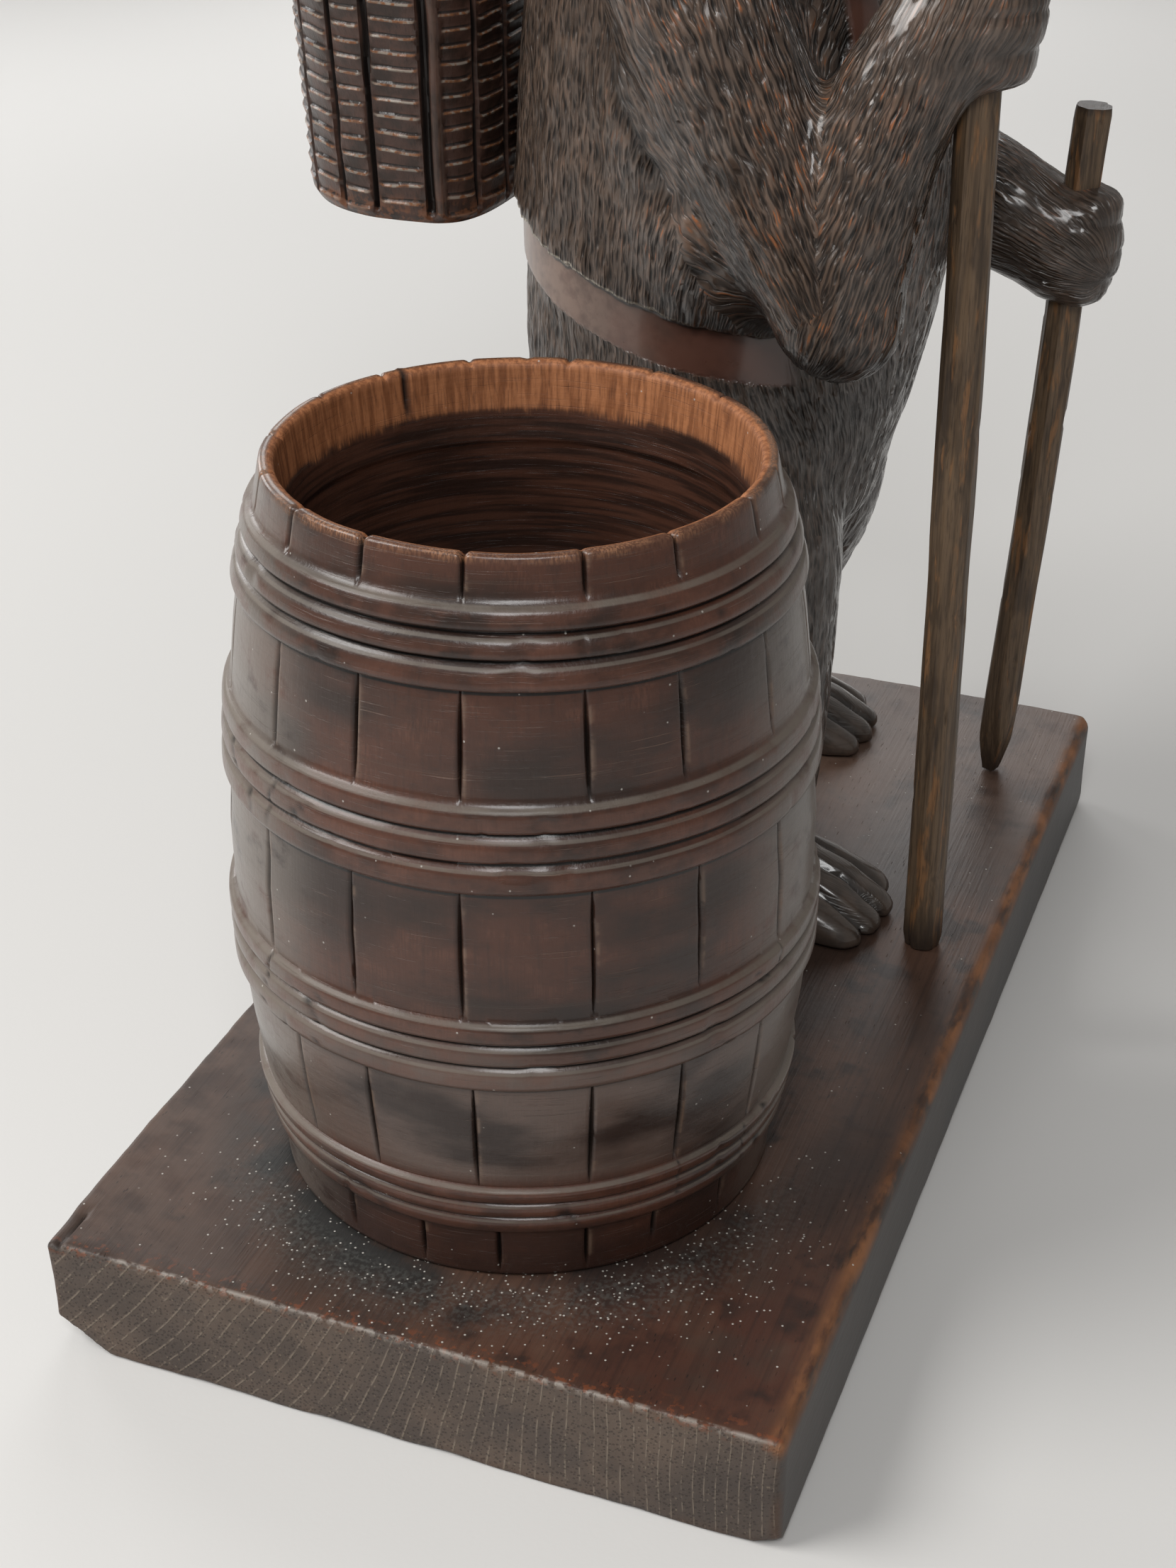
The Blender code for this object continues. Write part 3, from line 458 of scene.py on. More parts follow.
def plank_finish():
    """Old stained softwood: dark top, orange worn edges, grey end grain with growth lines, a painted sheen towards
    the far end and a painted floor reflection on the long sides.
    """
    f = Finish("plank_wood")
    x, y, z = (f.place.part(axis) for axis in range(3))
    normal = f.node("ShaderNodeNewGeometry", out="Normal")
    up = normal.part(2).ramp(0.5, 0.9)
    end = normal.part(1).size().ramp(0.5, 0.9)
    edge, front, near = f.marked("edge"), f.marked("front_edge"), f.marked("near_line")
    crack, near_top = f.marked("crack"), f.marked("near_top")
    # growth lines lean over at the left, where they are wide apart, and stand up at the right
    bend = f.grain((60.0, 240.0, 60.0), detail=2.0) - 0.5
    ring = x - (z - 30.0) * x.ramp(60.0, -85.0) * 0.84 + 7.0 * bend
    turn = (0.294 * ring + 0.00066 * ring * ring).sum("FRACT")
    line = turn.ramp(0.80, 0.92) * turn.ramp(1.0, 0.93) * f.grain(2.6, detail=3.0).ramp(0.36, 0.56)
    streak = f.grain((1.1, 38.0, 1.1), detail=3.0)
    fine = f.grain((0.45, 14.0, 0.45), detail=2.0)
    blotch = f.grain((34.0, 60.0, 34.0), detail=4.0)
    patch = f.grain(13.0, detail=4.0)
    top = f.mix(blotch.ramp(0.38, 0.66), (0.040, 0.024, 0.018), (0.085, 0.045, 0.030))
    # redder towards the front near corner, greyer towards the left
    red = x.ramp(-40.0, 80.0) * y.ramp(-60.0, -150.0)
    top = f.mix(red * 0.75 * patch.ramp(0.25, 0.6), top, (0.062, 0.020, 0.012))
    top = f.mix(streak.ramp(0.45, 0.75) * 0.45, top, (0.020, 0.012, 0.010))
    top = f.mix(x.ramp(-20.0, -84.0) * 0.45 * patch.ramp(0.35, 0.6), top, (0.125, 0.080, 0.060))
    top = f.mix(patch.ramp(0.50, 0.66) * blotch.ramp(0.40, 0.56) * 0.75, top, (0.014, 0.011, 0.010))
    # lighter towards the far end, in patches: a painted sheen of the light from behind
    top = f.mix(y.ramp(30.0, 120.0) * 0.75 * patch.ramp(0.3, 0.6), top, (0.145, 0.092, 0.068))
    dash = f.cells((1.0, 3.6, 2.0)).ramp(0.20, 0.10) * f.grain(9.0, detail=2.0).ramp(0.50, 0.60)
    top = f.mix(dash * 0.7, top, (0.010, 0.008, 0.007))
    end_colour = f.mix(patch.ramp(0.3, 0.7), (0.072, 0.055, 0.046), (0.115, 0.083, 0.063))
    end_colour = f.mix(f.grain(26.0, detail=3.0).ramp(0.50, 0.64) * 0.55, end_colour, (0.036, 0.030, 0.028))
    end_colour = f.mix(line * 0.60, end_colour, (0.24, 0.195, 0.15))
    fleck = f.cells((1.1, 1.0, 1.6)).ramp(0.26, 0.12) * f.grain(6.0, detail=2.0).ramp(0.48, 0.58)
    end_colour = f.mix(fleck * 0.5, end_colour, (0.20, 0.16, 0.115))
    pore = f.cells(0.9)
    end_colour = f.mix(pore.ramp(0.42, 0.2) * 0.5, end_colour, (0.025, 0.017, 0.014))
    # the long sides: grey brown, lighter than the wood's own tone as a painted reflection of the pale floor
    long_side = f.mix(blotch.ramp(0.4, 0.6), (0.042, 0.037, 0.035), (0.064, 0.055, 0.050))
    colour = f.mix(up, long_side, top)
    colour = f.mix(end, colour, end_colour)
    # wear
    worn = (edge * patch.ramp(0.42, 0.62) * 0.8).least(1.0)
    colour = f.mix(worn * 0.55, colour, WARM_BROWN)
    glow = front ** 1.8 * f.grain((4.0, 13.0, 4.0), detail=5.0).ramp(0.34, 0.54)
    glow_tone = f.mix(patch.ramp(0.4, 0.65), (0.15, 0.062, 0.026), WORN_ORANGE)
    colour = f.mix(glow * 0.85, colour, glow_tone)
    rust = near_top * f.grain((2.0, 2.0, 2.0), detail=4.0).ramp(0.54, 0.62)
    colour = f.mix(rust * 0.65, colour, (0.17, 0.050, 0.020))
    pale = near * f.grain((2.2, 2.2, 2.2), detail=3.0).ramp(0.42, 0.56)
    colour = f.mix(pale * 0.7, colour, (0.30, 0.27, 0.24))
    # dust and a dark ring round the barrel's foot, thickest in front of it
    beside, before = x + 2.3, -82.0 - y
    away = (beside * beside + before * before) ** 0.5
    ahead = ((0.30 * beside + 0.95 * before) / away).ramp(0.05, 0.75)
    leftward = ((0.45 * before - 0.9 * beside) / away).ramp(0.2, 0.85)
    smear = away.ramp(80.0, 60.0) * (0.85 * leftward + 0.55 * ahead).least(1.0) * patch.ramp(0.25, 0.55) * up
    colour = f.mix(smear * 0.85, colour, (0.016, 0.018, 0.018))
    film = away.ramp(58.0, 63.0) * away.ramp(80.0, 65.0) * ahead * up * f.grain(1.1, detail=3.0).ramp(0.42, 0.64)
    colour = f.mix(film * 0.26, colour, (0.12, 0.125, 0.115))
    thick = ahead * away.ramp(96.0, 61.0)
    pick = f.cells(1.25, out="Color").part(0)
    speck = f.cells(1.25).ramp(0.26, 0.12) * (pick - 1.0 + 0.035 + 0.62 * thick).ramp(0.0, 0.03) * up
    colour = f.mix(speck * 0.85, colour, CHALK)
    colour = f.mix(crack * 0.9, colour, NEAR_BLACK)
    rough = 0.47 + 0.17 * end + 0.14 * (blotch - 0.5) + 0.10 * front
    scratch = f.cells((0.8, 9.0, 6.0), f.place.moved((11.0, 0.0, 0.0))).ramp(0.12, 0.03)
    height = 0.10 * streak + 0.05 * fine + 0.18 * patch - 0.10 * scratch * up
    height = height - 0.10 * pore.ramp(0.42, 0.2) * end + 0.12 * line * end + 0.05 * speck
    return f.wear(colour, rough, height)


# Barrel
BARREL_AXIS = (-2.3, -82.0)
STAVES = 16
COLUMNS_A_STAVE = 22
HOOPS = ((13.6, 27.5), (55.5, 72.5), (102.0, 121.5), (144.0, 160.5))
BARREL_TOP = 169.5
STAVE_SHAPE = (
    (0.0, 56.8), (6.0, 57.2), (12.0, 57.6), (20.0, 59.2), (30.0, 60.9), (42.0, 62.5), (51.0, 63.3),
    (60.0, 63.6), (75.0, 63.8), (88.0, 63.8), (96.0, 63.1), (110.0, 62.3), (124.0, 61.0),
    (130.0, 60.3), (136.5, 59.5), (142.0, 58.6), (152.0, 56.4), (161.0, 54.0), (169.5, 52.3),
)
REEDS = (     # from a hoop's top down: share of its width, share of how far it stands proud
    (0.00, 0.00), (0.03, 0.55), (0.07, 0.92), (0.13, 1.00), (0.23, 1.00), (0.28, 0.80), (0.315, 0.05),
    (0.33, 0.05), (0.36, 0.60), (0.42, 0.92), (0.48, 1.00), (0.55, 1.00), (0.60, 0.80), (0.635, 0.05),
    (0.65, 0.05), (0.68, 0.55), (0.74, 0.90), (0.80, 1.00), (0.91, 1.00), (0.965, 0.75), (1.00, 0.00),
)
HOOP_PROUD = 1.75
JOINT_ANGLES = (    # the joints that the photograph shows, by section from the foot up, in degrees
    (-43.0, -24.0, -7.0, 12.0, 27.6, 47.0),
    (-49.5, -31.9, -10.4, 11.8, 30.4, 51.5),
    (-55.8, -33.3, -11.9, 11.9, 33.3, 55.8),
    (-53.6, -32.5, -11.6, 11.6, 30.75, 54.5),
    (-56.0, -34.5, -11.8, 12.75, 33.4, 59.2),
)
BORE = 47.5
MOUTH = 151.5                    # the bore starts to widen here
RAW_FROM = 157.6                 # and above this the wood is raw
CRACK_ANGLE = math.radians(-150.3)


def joint_table():
    """The angle of every joint in every section, in radians from the side faced."""
    chance = random.Random(16)
    table = []
    for measured in JOINT_ANGLES:
        even = [-11.25 + 22.5 * count for count in range(STAVES)]
        angles = [angle + chance.uniform(-1.8, 1.8) for angle in even]
        for count, angle in enumerate(measured):
            place = (count - 2) % STAVES
            angles[place] = angle + (360.0 if count < 2 else 0.0)
        table.append(np.radians(angles))
    return np.array(table)


def barrel_profile():
    """(radius, height) from the middle of the underside, round the rim and down to the floor."""
    shape = np.array(STAVE_SHAPE)
    rows = [(radius, 0.0) for radius in (0.0, 18.0, 34.0, 46.0, 53.0, 56.3)]
    heights = [0.3, 1.0]
    ends = [1.0]
    for low, high in HOOPS:
        ends += [low, high]
    ends.append(BARREL_TOP - 0.6)
    for count, (low, high) in enumerate(zip(ends, ends[1:])):
        step = 0.55 if count % 2 else 1.7
        rounds = max(3, round((high - low) / step))
        heights += [low + (high - low) * (turn + 1) / rounds for turn in range(rounds)]
    rows += [(np.interp(height, *shape.T), height) for height in heights]
    rows += [(52.2, BARREL_TOP - 0.2), (51.7, BARREL_TOP), (51.0, BARREL_TOP + 0.05)]
    rows += [(50.3, BARREL_TOP - 0.1), (49.6, BARREL_TOP - 0.45), (49.2, BARREL_TOP - 1.0)]
    for count in range(1, 15):
        share = count / 14
        rows.append((49.2 - (49.2 - BORE) * share, BARREL_TOP - 1.0 - (BARREL_TOP - 1.0 - MOUTH) * share))
    rows += [(BORE, MOUTH - 0.3), (BORE, MOUTH - 0.8)]
    rows += [(BORE, MOUTH - 2.0 - count * 3.4) for count in range(40)]
    rows += [(BORE - 0.8, 15.0), (BORE - 2.0, 14.1), (43.0, 14.0), (34.0, 14.0), (22.0, 14.0), (0.0, 14.0)]
    return rows


def spin_profile(name, rows, columns):
    """A closed turned piece round the Z axis from rows of radius and height."""
    clear_choice()
    bpy.ops.mesh.primitive_plane_add(size=1.0)
    piece = bpy.context.object
    piece.name = name
    edit_all(piece)
    bpy.ops.mesh.merge(type="CENTER")
    for (radius, height), (further, higher) in zip(rows, rows[1:]):
        way = ((further - radius) * MM, 0.0, (higher - height) * MM)
        bpy.ops.mesh.extrude_region_move(TRANSFORM_OT_translate={"value": way})
    bpy.ops.mesh.select_all(action="SELECT")
    bpy.ops.mesh.spin(steps=columns, angle=2.0 * math.pi, center=(0.0, 0.0, 0.0), axis=(0.0, 0.0, 1.0))
    done_editing()
    tidy_normals(piece)
    return piece


def make_cask():
    """The turned barrel with its cut staves, reeded hoops, uneven lip and raw mouth."""
    low, high = (np.array(corner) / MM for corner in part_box("barrel"))
    columns = STAVES * COLUMNS_A_STAVE
    piece = spin_profile("cask", barrel_profile(), columns)
    points = points_of(piece)
    radius, height = np.hypot(points[:, 0], points[:, 1]), points[:, 2].copy()
    turn = np.round(np.arctan2(points[:, 1], points[:, 0]) / (2.0 * math.pi / columns)) % columns
    stave, share = np.divmod(turn / COLUMNS_A_STAVE, 1.0)
    stave = stave.astype(int)
    closer = share - 0.64 * np.sin(2.0 * math.pi * share) / (2.0 * math.pi)
    # the joints keep their angle along a section and change it under the hoops
    table = joint_table()
    marks = [0.0]
    for bottom, top in HOOPS:
        marks += [bottom, top]
    marks.append(BARREL_TOP)
    levels = np.repeat(np.arange(5), 2)
    angles = np.array([np.interp(height, marks, table[levels, joint]) for joint in range(STAVES)])
    start = angles[stave, np.arange(len(points))]
    nxt = (stave + 1) % STAVES
    end = angles[nxt, np.arange(len(points))]
    end = start + (end - start) % (2.0 * math.pi)
    angle = start + (end - start) * closer
    nearest = np.where(closer < 0.5, start, end)
    near_joint = np.where(closer < 0.5, stave, nxt)
    outside = (radius > 51.6) & (height > 0.2)
    inside = (radius < 49.3) & (height > 14.5)
    aside = (angle - nearest) * radius
    round_way = np.stack([np.cos(angle) * 60.0, np.sin(angle) * 60.0, height], 1)
    wide = drift(round_way, (30.0, 30.0, 60.0), 31)
    # cuts between the staves
    section = np.searchsorted(marks, height, side="right") - 1
    plain = outside & (section % 2 == 0)
    level = np.clip(section // 2, 0, 4)
    bottom = np.array(marks)[level * 2]
    top = np.array(marks)[level * 2 + 1]
    cell = np.stack([near_joint, level], 1)
    luck = [hashed(cell, seed) for seed in (41, 42, 43, 44)]
    reach = (height - bottom) / (top - bottom)
    reach_low = np.where(level == 0, 0.10 + 0.25 * luck[0], -0.10 + 0.10 * luck[0])
    reach_high = np.where(level == 4, 1.3, 1.10 - 0.10 * luck[1])
    part = np.clip((reach - reach_low) / (reach_high - reach_low), 0.0, 1.0)
    taper = np.clip(4.0 * part * (1.0 - part), 0.0, 1.0) ** 0.42
    slant = aside + (luck[2] - 0.5) * 0.5 * (reach - 0.5)
    half_width = (0.50 + 0.28 * luck[3]) * taper + 1e-6
    cut = np.clip(1.0 - np.abs(slant) / half_width, 0.0, 1.0) * taper * plain
    grow = np.zeros(len(points))
    grow -= 1.25 * cut
    # the right wall of each cut, which the finish paints pale: painted light where it faces the key light, and dust
    lit_cut_wall = np.exp(-(((slant - 0.8) / 0.45) ** 2)) * plain * taper
    # hoops
    proud = np.zeros(len(points))
    for count, (foot, head) in enumerate(HOOPS):
        width = head - foot
        down = (head - height) / width + 0.006 * drift(round_way, 18.0, 50 + count)
        inside_hoop = outside & (height >= foot - 1e-6) & (height <= head + 1e-6)
        reed = np.interp(down, *np.array(REEDS).T)
        proud = np.where(inside_hoop, reed, proud)
    nick = ramp(drift(round_way, (4.0, 4.0, 9.0), 61), 0.62, 0.85)
    crack_line = ramp(np.abs(drift(round_way, (9.0, 9.0, 26.0), 62)), 0.035, 0.0)
    crack_line *= ramp(drift(round_way, 22.0, 63), 0.25, 0.5)
    grow += HOOP_PROUD * proud * (1.0 - 0.30 * nick)
    grow -= 0.35 * crack_line * (proud > 0.3)
    # hand work and shrinkage
    grow += outside * (0.16 * wide + 0.07 * drift(round_way, (9.0, 9.0, 22.0), 32))
    # bore: turned rings under the raw band, and a step where the tool stopped
    bored = inside & (height < MOUTH - 0.4)
    ring = 0.14 * np.sin(height * 2.0 * math.pi / 6.8 + 0.6 * drift(round_way, 30.0, 71))
    grow += bored * (0.35 + ring + 0.10 * drift(np.stack([height, height * 0.0], 1), 1.6, 72))
    raw = inside & ~bored
    grow += raw * 0.10 * drift(round_way, (1.6, 1.6, 16.0), 73)
    from_crack = (angle - FACING * 0.0 - CRACK_ANGLE + math.pi) % (2.0 * math.pi) - math.pi
    split = np.exp(-((from_crack * radius - 0.05 * (BARREL_TOP - height)) / 0.45) ** 2)
    split *= ramp(height, 156.0, 161.0) * (radius < 52.0)
    grow += 0.9 * split
    # the lip: thin, bevelled and uneven, with a notch at each joint
    lip = (height > BARREL_TOP - 1.2) & (radius > 49.0)
    notch = np.exp(-((slant / (0.55 + 0.3 * luck[3])) ** 2)) * (0.35 + 0.65 * luck[0])
    small_nick = ramp(drift(round_way, (1.3, 1.3, 30.0), 74), 0.55, 0.8) * ramp(drift(round_way, 12.0, 75), 0.0, 0.4)
    level_off = 0.30 + 0.28 * drift(round_way, (16.0, 16.0, 60.0), 76) + 0.5 * small_nick + 0.95 * notch
    drop = ramp(height, BARREL_TOP - 2.5, BARREL_TOP - 0.3) * level_off
    drop = np.clip(drop, 0.0, 1.7)
    new_radius = radius + grow
    body = radius > 1.0
    placed = np.stack([
        BARREL_AXIS[0] + new_radius * np.cos(angle + FACING) * body,
        BARREL_AXIS[1] + new_radius * np.sin(angle + FACING) * body,
        height - drop + low[2],
    ], 1)
    put_points(piece, placed)
    down, near_hoop = np.full(len(points), 2.0), np.zeros(len(points))
    for foot, head in HOOPS:
        share_down = (head - height) / (head - foot)
        here = outside & (share_down > -0.3) & (share_down < 1.3)
        down[here] = share_down[here]
        near_hoop[here] = 1.0
    mark(piece, "cut", np.clip(cut * 1.6, 0, 1))
    mark(piece, "lap", np.clip(lit_cut_wall, 0, 1))
    mark(piece, "down", down)
    mark(piece, "near_hoop", near_hoop)
    mark(piece, "crack", crack_line * (proud > 0.3))
    mark(piece, "crest", ramp(proud, 0.80, 1.0))
    mark(piece, "lip", ramp(height, BARREL_TOP - 1.3, BARREL_TOP - 0.3) * (radius > 49.9))
    stain = RAW_FROM + 0.7 * drift(round_way, (14.0, 14.0, 1e6), 77) + 0.5 * drift(round_way, (2.4, 2.4, 1e6), 78)
    bare = ramp(height, stain - 0.5, stain + 0.5) * (radius < 50.6) * (height < BARREL_TOP + 1.0) * (radius > 47.4)
    mark(piece, "raw", bare * (1.0 - split))
    mark(piece, "bore", ((radius < 49.4) & (height > 13.9)) * (1.0 - bare))
    mark(piece, "lit_side", np.clip(np.cos(angle + math.radians(55.0)), 0, 1))
    mark(piece, "split", split)
    finish_piece(piece, "barrel", cask_finish(), 60)
    return piece


def cask_finish():
    """Dark turned wood: rubbed staves, dust on the ledges, orange lip and a raw band in the mouth, with painted sheen
    on the staves and painted shade deep in the bore.
    """
    f = Finish("cask_wood")
    cut, crest, down, near_hoop = (f.marked(name) for name in ("cut", "crest", "down", "near_hoop"))

    def bands(*places):
        found = 0.0
        for middle, half in places:
            band = (down - middle).size().ramp(half, half * 0.45)
            found = band if isinstance(found, float) else found.most(band)
        return found * near_hoop

    ledge = bands((0.040, 0.034), (0.380, 0.024), (0.712, 0.024))
    groove = bands((0.322, 0.024), (0.642, 0.024), (1.015, 0.028)).most(f.marked("crack"))
    lip, raw, bore, lap = (f.marked(name) for name in ("lip", "raw", "bore", "lap"))
    streak = f.grain((1.3, 1.3, 40.0), detail=3.0)
    fine = f.grain((0.45, 0.45, 11.0), detail=2.0)
    blotch = f.grain((38.0, 38.0, 17.0), detail=4.0, rough=0.5)
    patch = f.grain((9.0, 9.0, 6.0), detail=5.0, rough=0.6)
    z = f.place.part(2)
    # stain, from red brown to nearly black in patches
    colour = f.mix(blotch.ramp(0.36, 0.62), (0.021, 0.0105, 0.0072), (0.062, 0.0225, 0.0128))
    colour = f.mix(patch.ramp(0.54, 0.70) * 0.35, colour, (0.014, 0.009, 0.0075))
    colour = f.mix(streak.ramp(0.50, 0.70) * 0.28, colour, (0.020, 0.0115, 0.009))
    rubbed = patch.ramp(0.50, 0.38) * fine.ramp(0.40, 0.60) * blotch.ramp(0.42, 0.6)
    colour = f.mix(rubbed * 0.25, colour, (0.14, 0.056, 0.033))
    level_scratch = f.grain((16.0, 16.0, 0.30), detail=3.0)
    colour = f.mix(level_scratch.ramp(0.62, 0.74) * 0.45, colour, (0.16, 0.095, 0.066))
    foot = z.ramp(50.0, 34.0)
    colour = f.mix(foot * 0.55, colour, (0.030, 0.011, 0.007))
    # painted sheen: grey on the side of the barrel that faces the key light
    painted_lit_sheen = f.marked("lit_side").ramp(0.15, 0.9)
    colour = f.mix(painted_lit_sheen * 0.05 * blotch.ramp(0.3, 0.6), colour, (0.085, 0.070, 0.060))
    # painted sheen: grey on the lower staves as a reflection of the pale floor, and on both outer sides where the
    # staves turn away
    low_sheen = z.ramp(104.0, 88.0) * z.ramp(57.0, 62.0) * blotch.ramp(0.32, 0.56)
    colour = f.mix(low_sheen * 0.60, colour, (0.125, 0.095, 0.080))
    painted_side_sheen = (f.place.part(0) * 0.93 + (f.place.part(1) + 82.0) * 0.36).size().ramp(38.0, 60.0)
    colour = f.mix(painted_side_sheen * 0.80 * patch.ramp(0.25, 0.5), colour, (0.165, 0.140, 0.120))
    # hoops: red-brown rubbed fronts, pale dust on each ledge and black between them
    colour = f.mix(crest * 0.45 * patch.ramp(0.60, 0.40), colour, (0.105, 0.042, 0.026))
    colour = f.mix(ledge * (0.38 + 0.20 * patch.ramp(0.35, 0.60)), colour, (0.150, 0.128, 0.105))
    colour = f.mix(groove * 0.95, colour, (0.006, 0.0045, 0.004))
    colour = f.mix(cut * 0.95, colour, (0.008, 0.006, 0.005))
    # painted light and dust on the right wall of each cut
    lit_and_dusty_cut_edge = lap * (1.0 - cut) * patch.ramp(0.55, 0.42)
    colour = f.mix(lit_and_dusty_cut_edge * 0.5, colour, (0.19, 0.125, 0.085))
    # the mouth
    lip_tone = f.mix(patch.ramp(0.38, 0.60), (0.10, 0.046, 0.026), (0.29, 0.140, 0.072))
    colour = f.mix(lip * (0.18 + 0.60 * fine.ramp(0.42, 0.60)), colour, lip_tone)
    drip = f.grain((0.55, 0.55, 24.0), detail=3.0)
    raw_tone = f.mix(streak.ramp(0.36, 0.64), (0.20, 0.072, 0.027), (0.35, 0.140, 0.058))
    raw_tone = f.mix(drip.ramp(0.52, 0.68) * 0.45, raw_tone, (0.080, 0.030, 0.015))
    raw_tone = f.mix(z.ramp(190.5, 187.4) * drip.ramp(0.34, 0.56) * 0.85, raw_tone, (0.050, 0.020, 0.011))
    colour = f.mix(raw, colour, raw_tone)
    turned = f.grain((30.0, 30.0, 1.6), detail=3.0).ramp(0.38, 0.62)
    bore_tone = f.mix(turned, (0.019, 0.0080, 0.0050), (0.058, 0.0225, 0.013))
    # darker deeper down: painted shade inside the bore
    bore_tone = f.mix(z.ramp(182.0, 110.0) * 0.65, bore_tone, (0.022, 0.010, 0.007))
    colour = f.mix(bore, colour, bore_tone)
    colour = f.mix(f.marked("split") * 0.95, colour, NEAR_BLACK)
    pick = f.cells(3.4, out="Color").part(0)
    speck = f.cells(3.4).ramp(0.09, 0.04) * pick.ramp(0.70, 0.74)
    colour = f.mix(speck * 0.6 * (1.0 - bore), colour, CHALK)
    rough = 0.36 + 0.16 * (blotch - 0.5) + 0.20 * ledge + 0.25 * raw + 0.12 * bore + 0.14 * (patch - 0.5)
    height = 0.07 * streak + 0.035 * fine + 0.17 * patch + 0.06 * f.grain((60.0, 60.0, 1.3), detail=2.0)
    height = height - 0.07 * level_scratch.ramp(0.60, 0.74) + 0.05 * f.grain(1.6, detail=2.0)
    polish = 0.34 * (1.0 - ledge * 0.6) * (1.0 - raw) * (1.0 - cut)
    return f.wear(colour, rough, height, polish, 0.17)


# Basket
BASKET_FOOT = 203.8              # height of its underside
BASKET_HEIGHT = 118.0
BASKET_BACK = -61.9              # where its back board meets the bear
BASKET_MIDDLE = 72.8
BASKET_HALF = 40.0
BASKET_DEPTHS = (24.0, 35.0)     # back board to widest place, and widest place outwards
BASKET_FLARE = 1.10
BASKET_WALL = 4.5
GROOVES = (      # places of the upright grooves along the round, from the bear's left
    6.0, 20.0, 34.0, 48.0, 62.0, 76.0, 90.5, 105.0, 115.8, 130.7, 144.5, 158.5, 176.0, 192.0, 208.0, 222.0,
)
GROOVE_HALVES = (0.9, 1.0, 0.9, 1.1, 0.9, 1.0, 0.9, 0.85, 1.0, 1.25, 0.8, 0.9, 0.8, 0.8, 0.8, 0.8)
STAKE_AT = 133.4                 # the one smooth stake, beside the widest groove


def basket_round(count):
    """The basket's outline at its foot with even steps: outwards, across, and the way it faces."""
    angle = np.linspace(0.0, 2.0 * math.pi, 4001)[:-1]
    across, outwards = np.cos(angle), np.sin(angle)
    far = outwards > 0.0
    power = np.where(far, 1.0, 0.5)
    depth = np.where(far, BASKET_DEPTHS[1], BASKET_DEPTHS[0])
    line = np.stack([
        np.sign(outwards) * np.abs(outwards) ** power * depth,
        np.sign(across) * np.abs(across) ** power * BASKET_HALF,
    ], 1)
    closed = np.vstack([line, line[:1]])
    length = np.concatenate([[0.0], np.cumsum(np.linalg.norm(np.diff(closed, axis=0), axis=1))])
    wanted = length[-1] * np.arange(count) / count
    even = np.stack([np.interp(wanted, length, closed[:, axis]) for axis in (0, 1)], 1)
    tangent = np.roll(even, -2, axis=0) - np.roll(even, 2, axis=0)
    tangent /= np.linalg.norm(tangent, axis=1, keepdims=True)
    outward = np.stack([tangent[:, 1], -tangent[:, 0]], 1)
    outward *= np.sign((outward * even).sum(1))[:, None]
    return even, outward, length[-1]


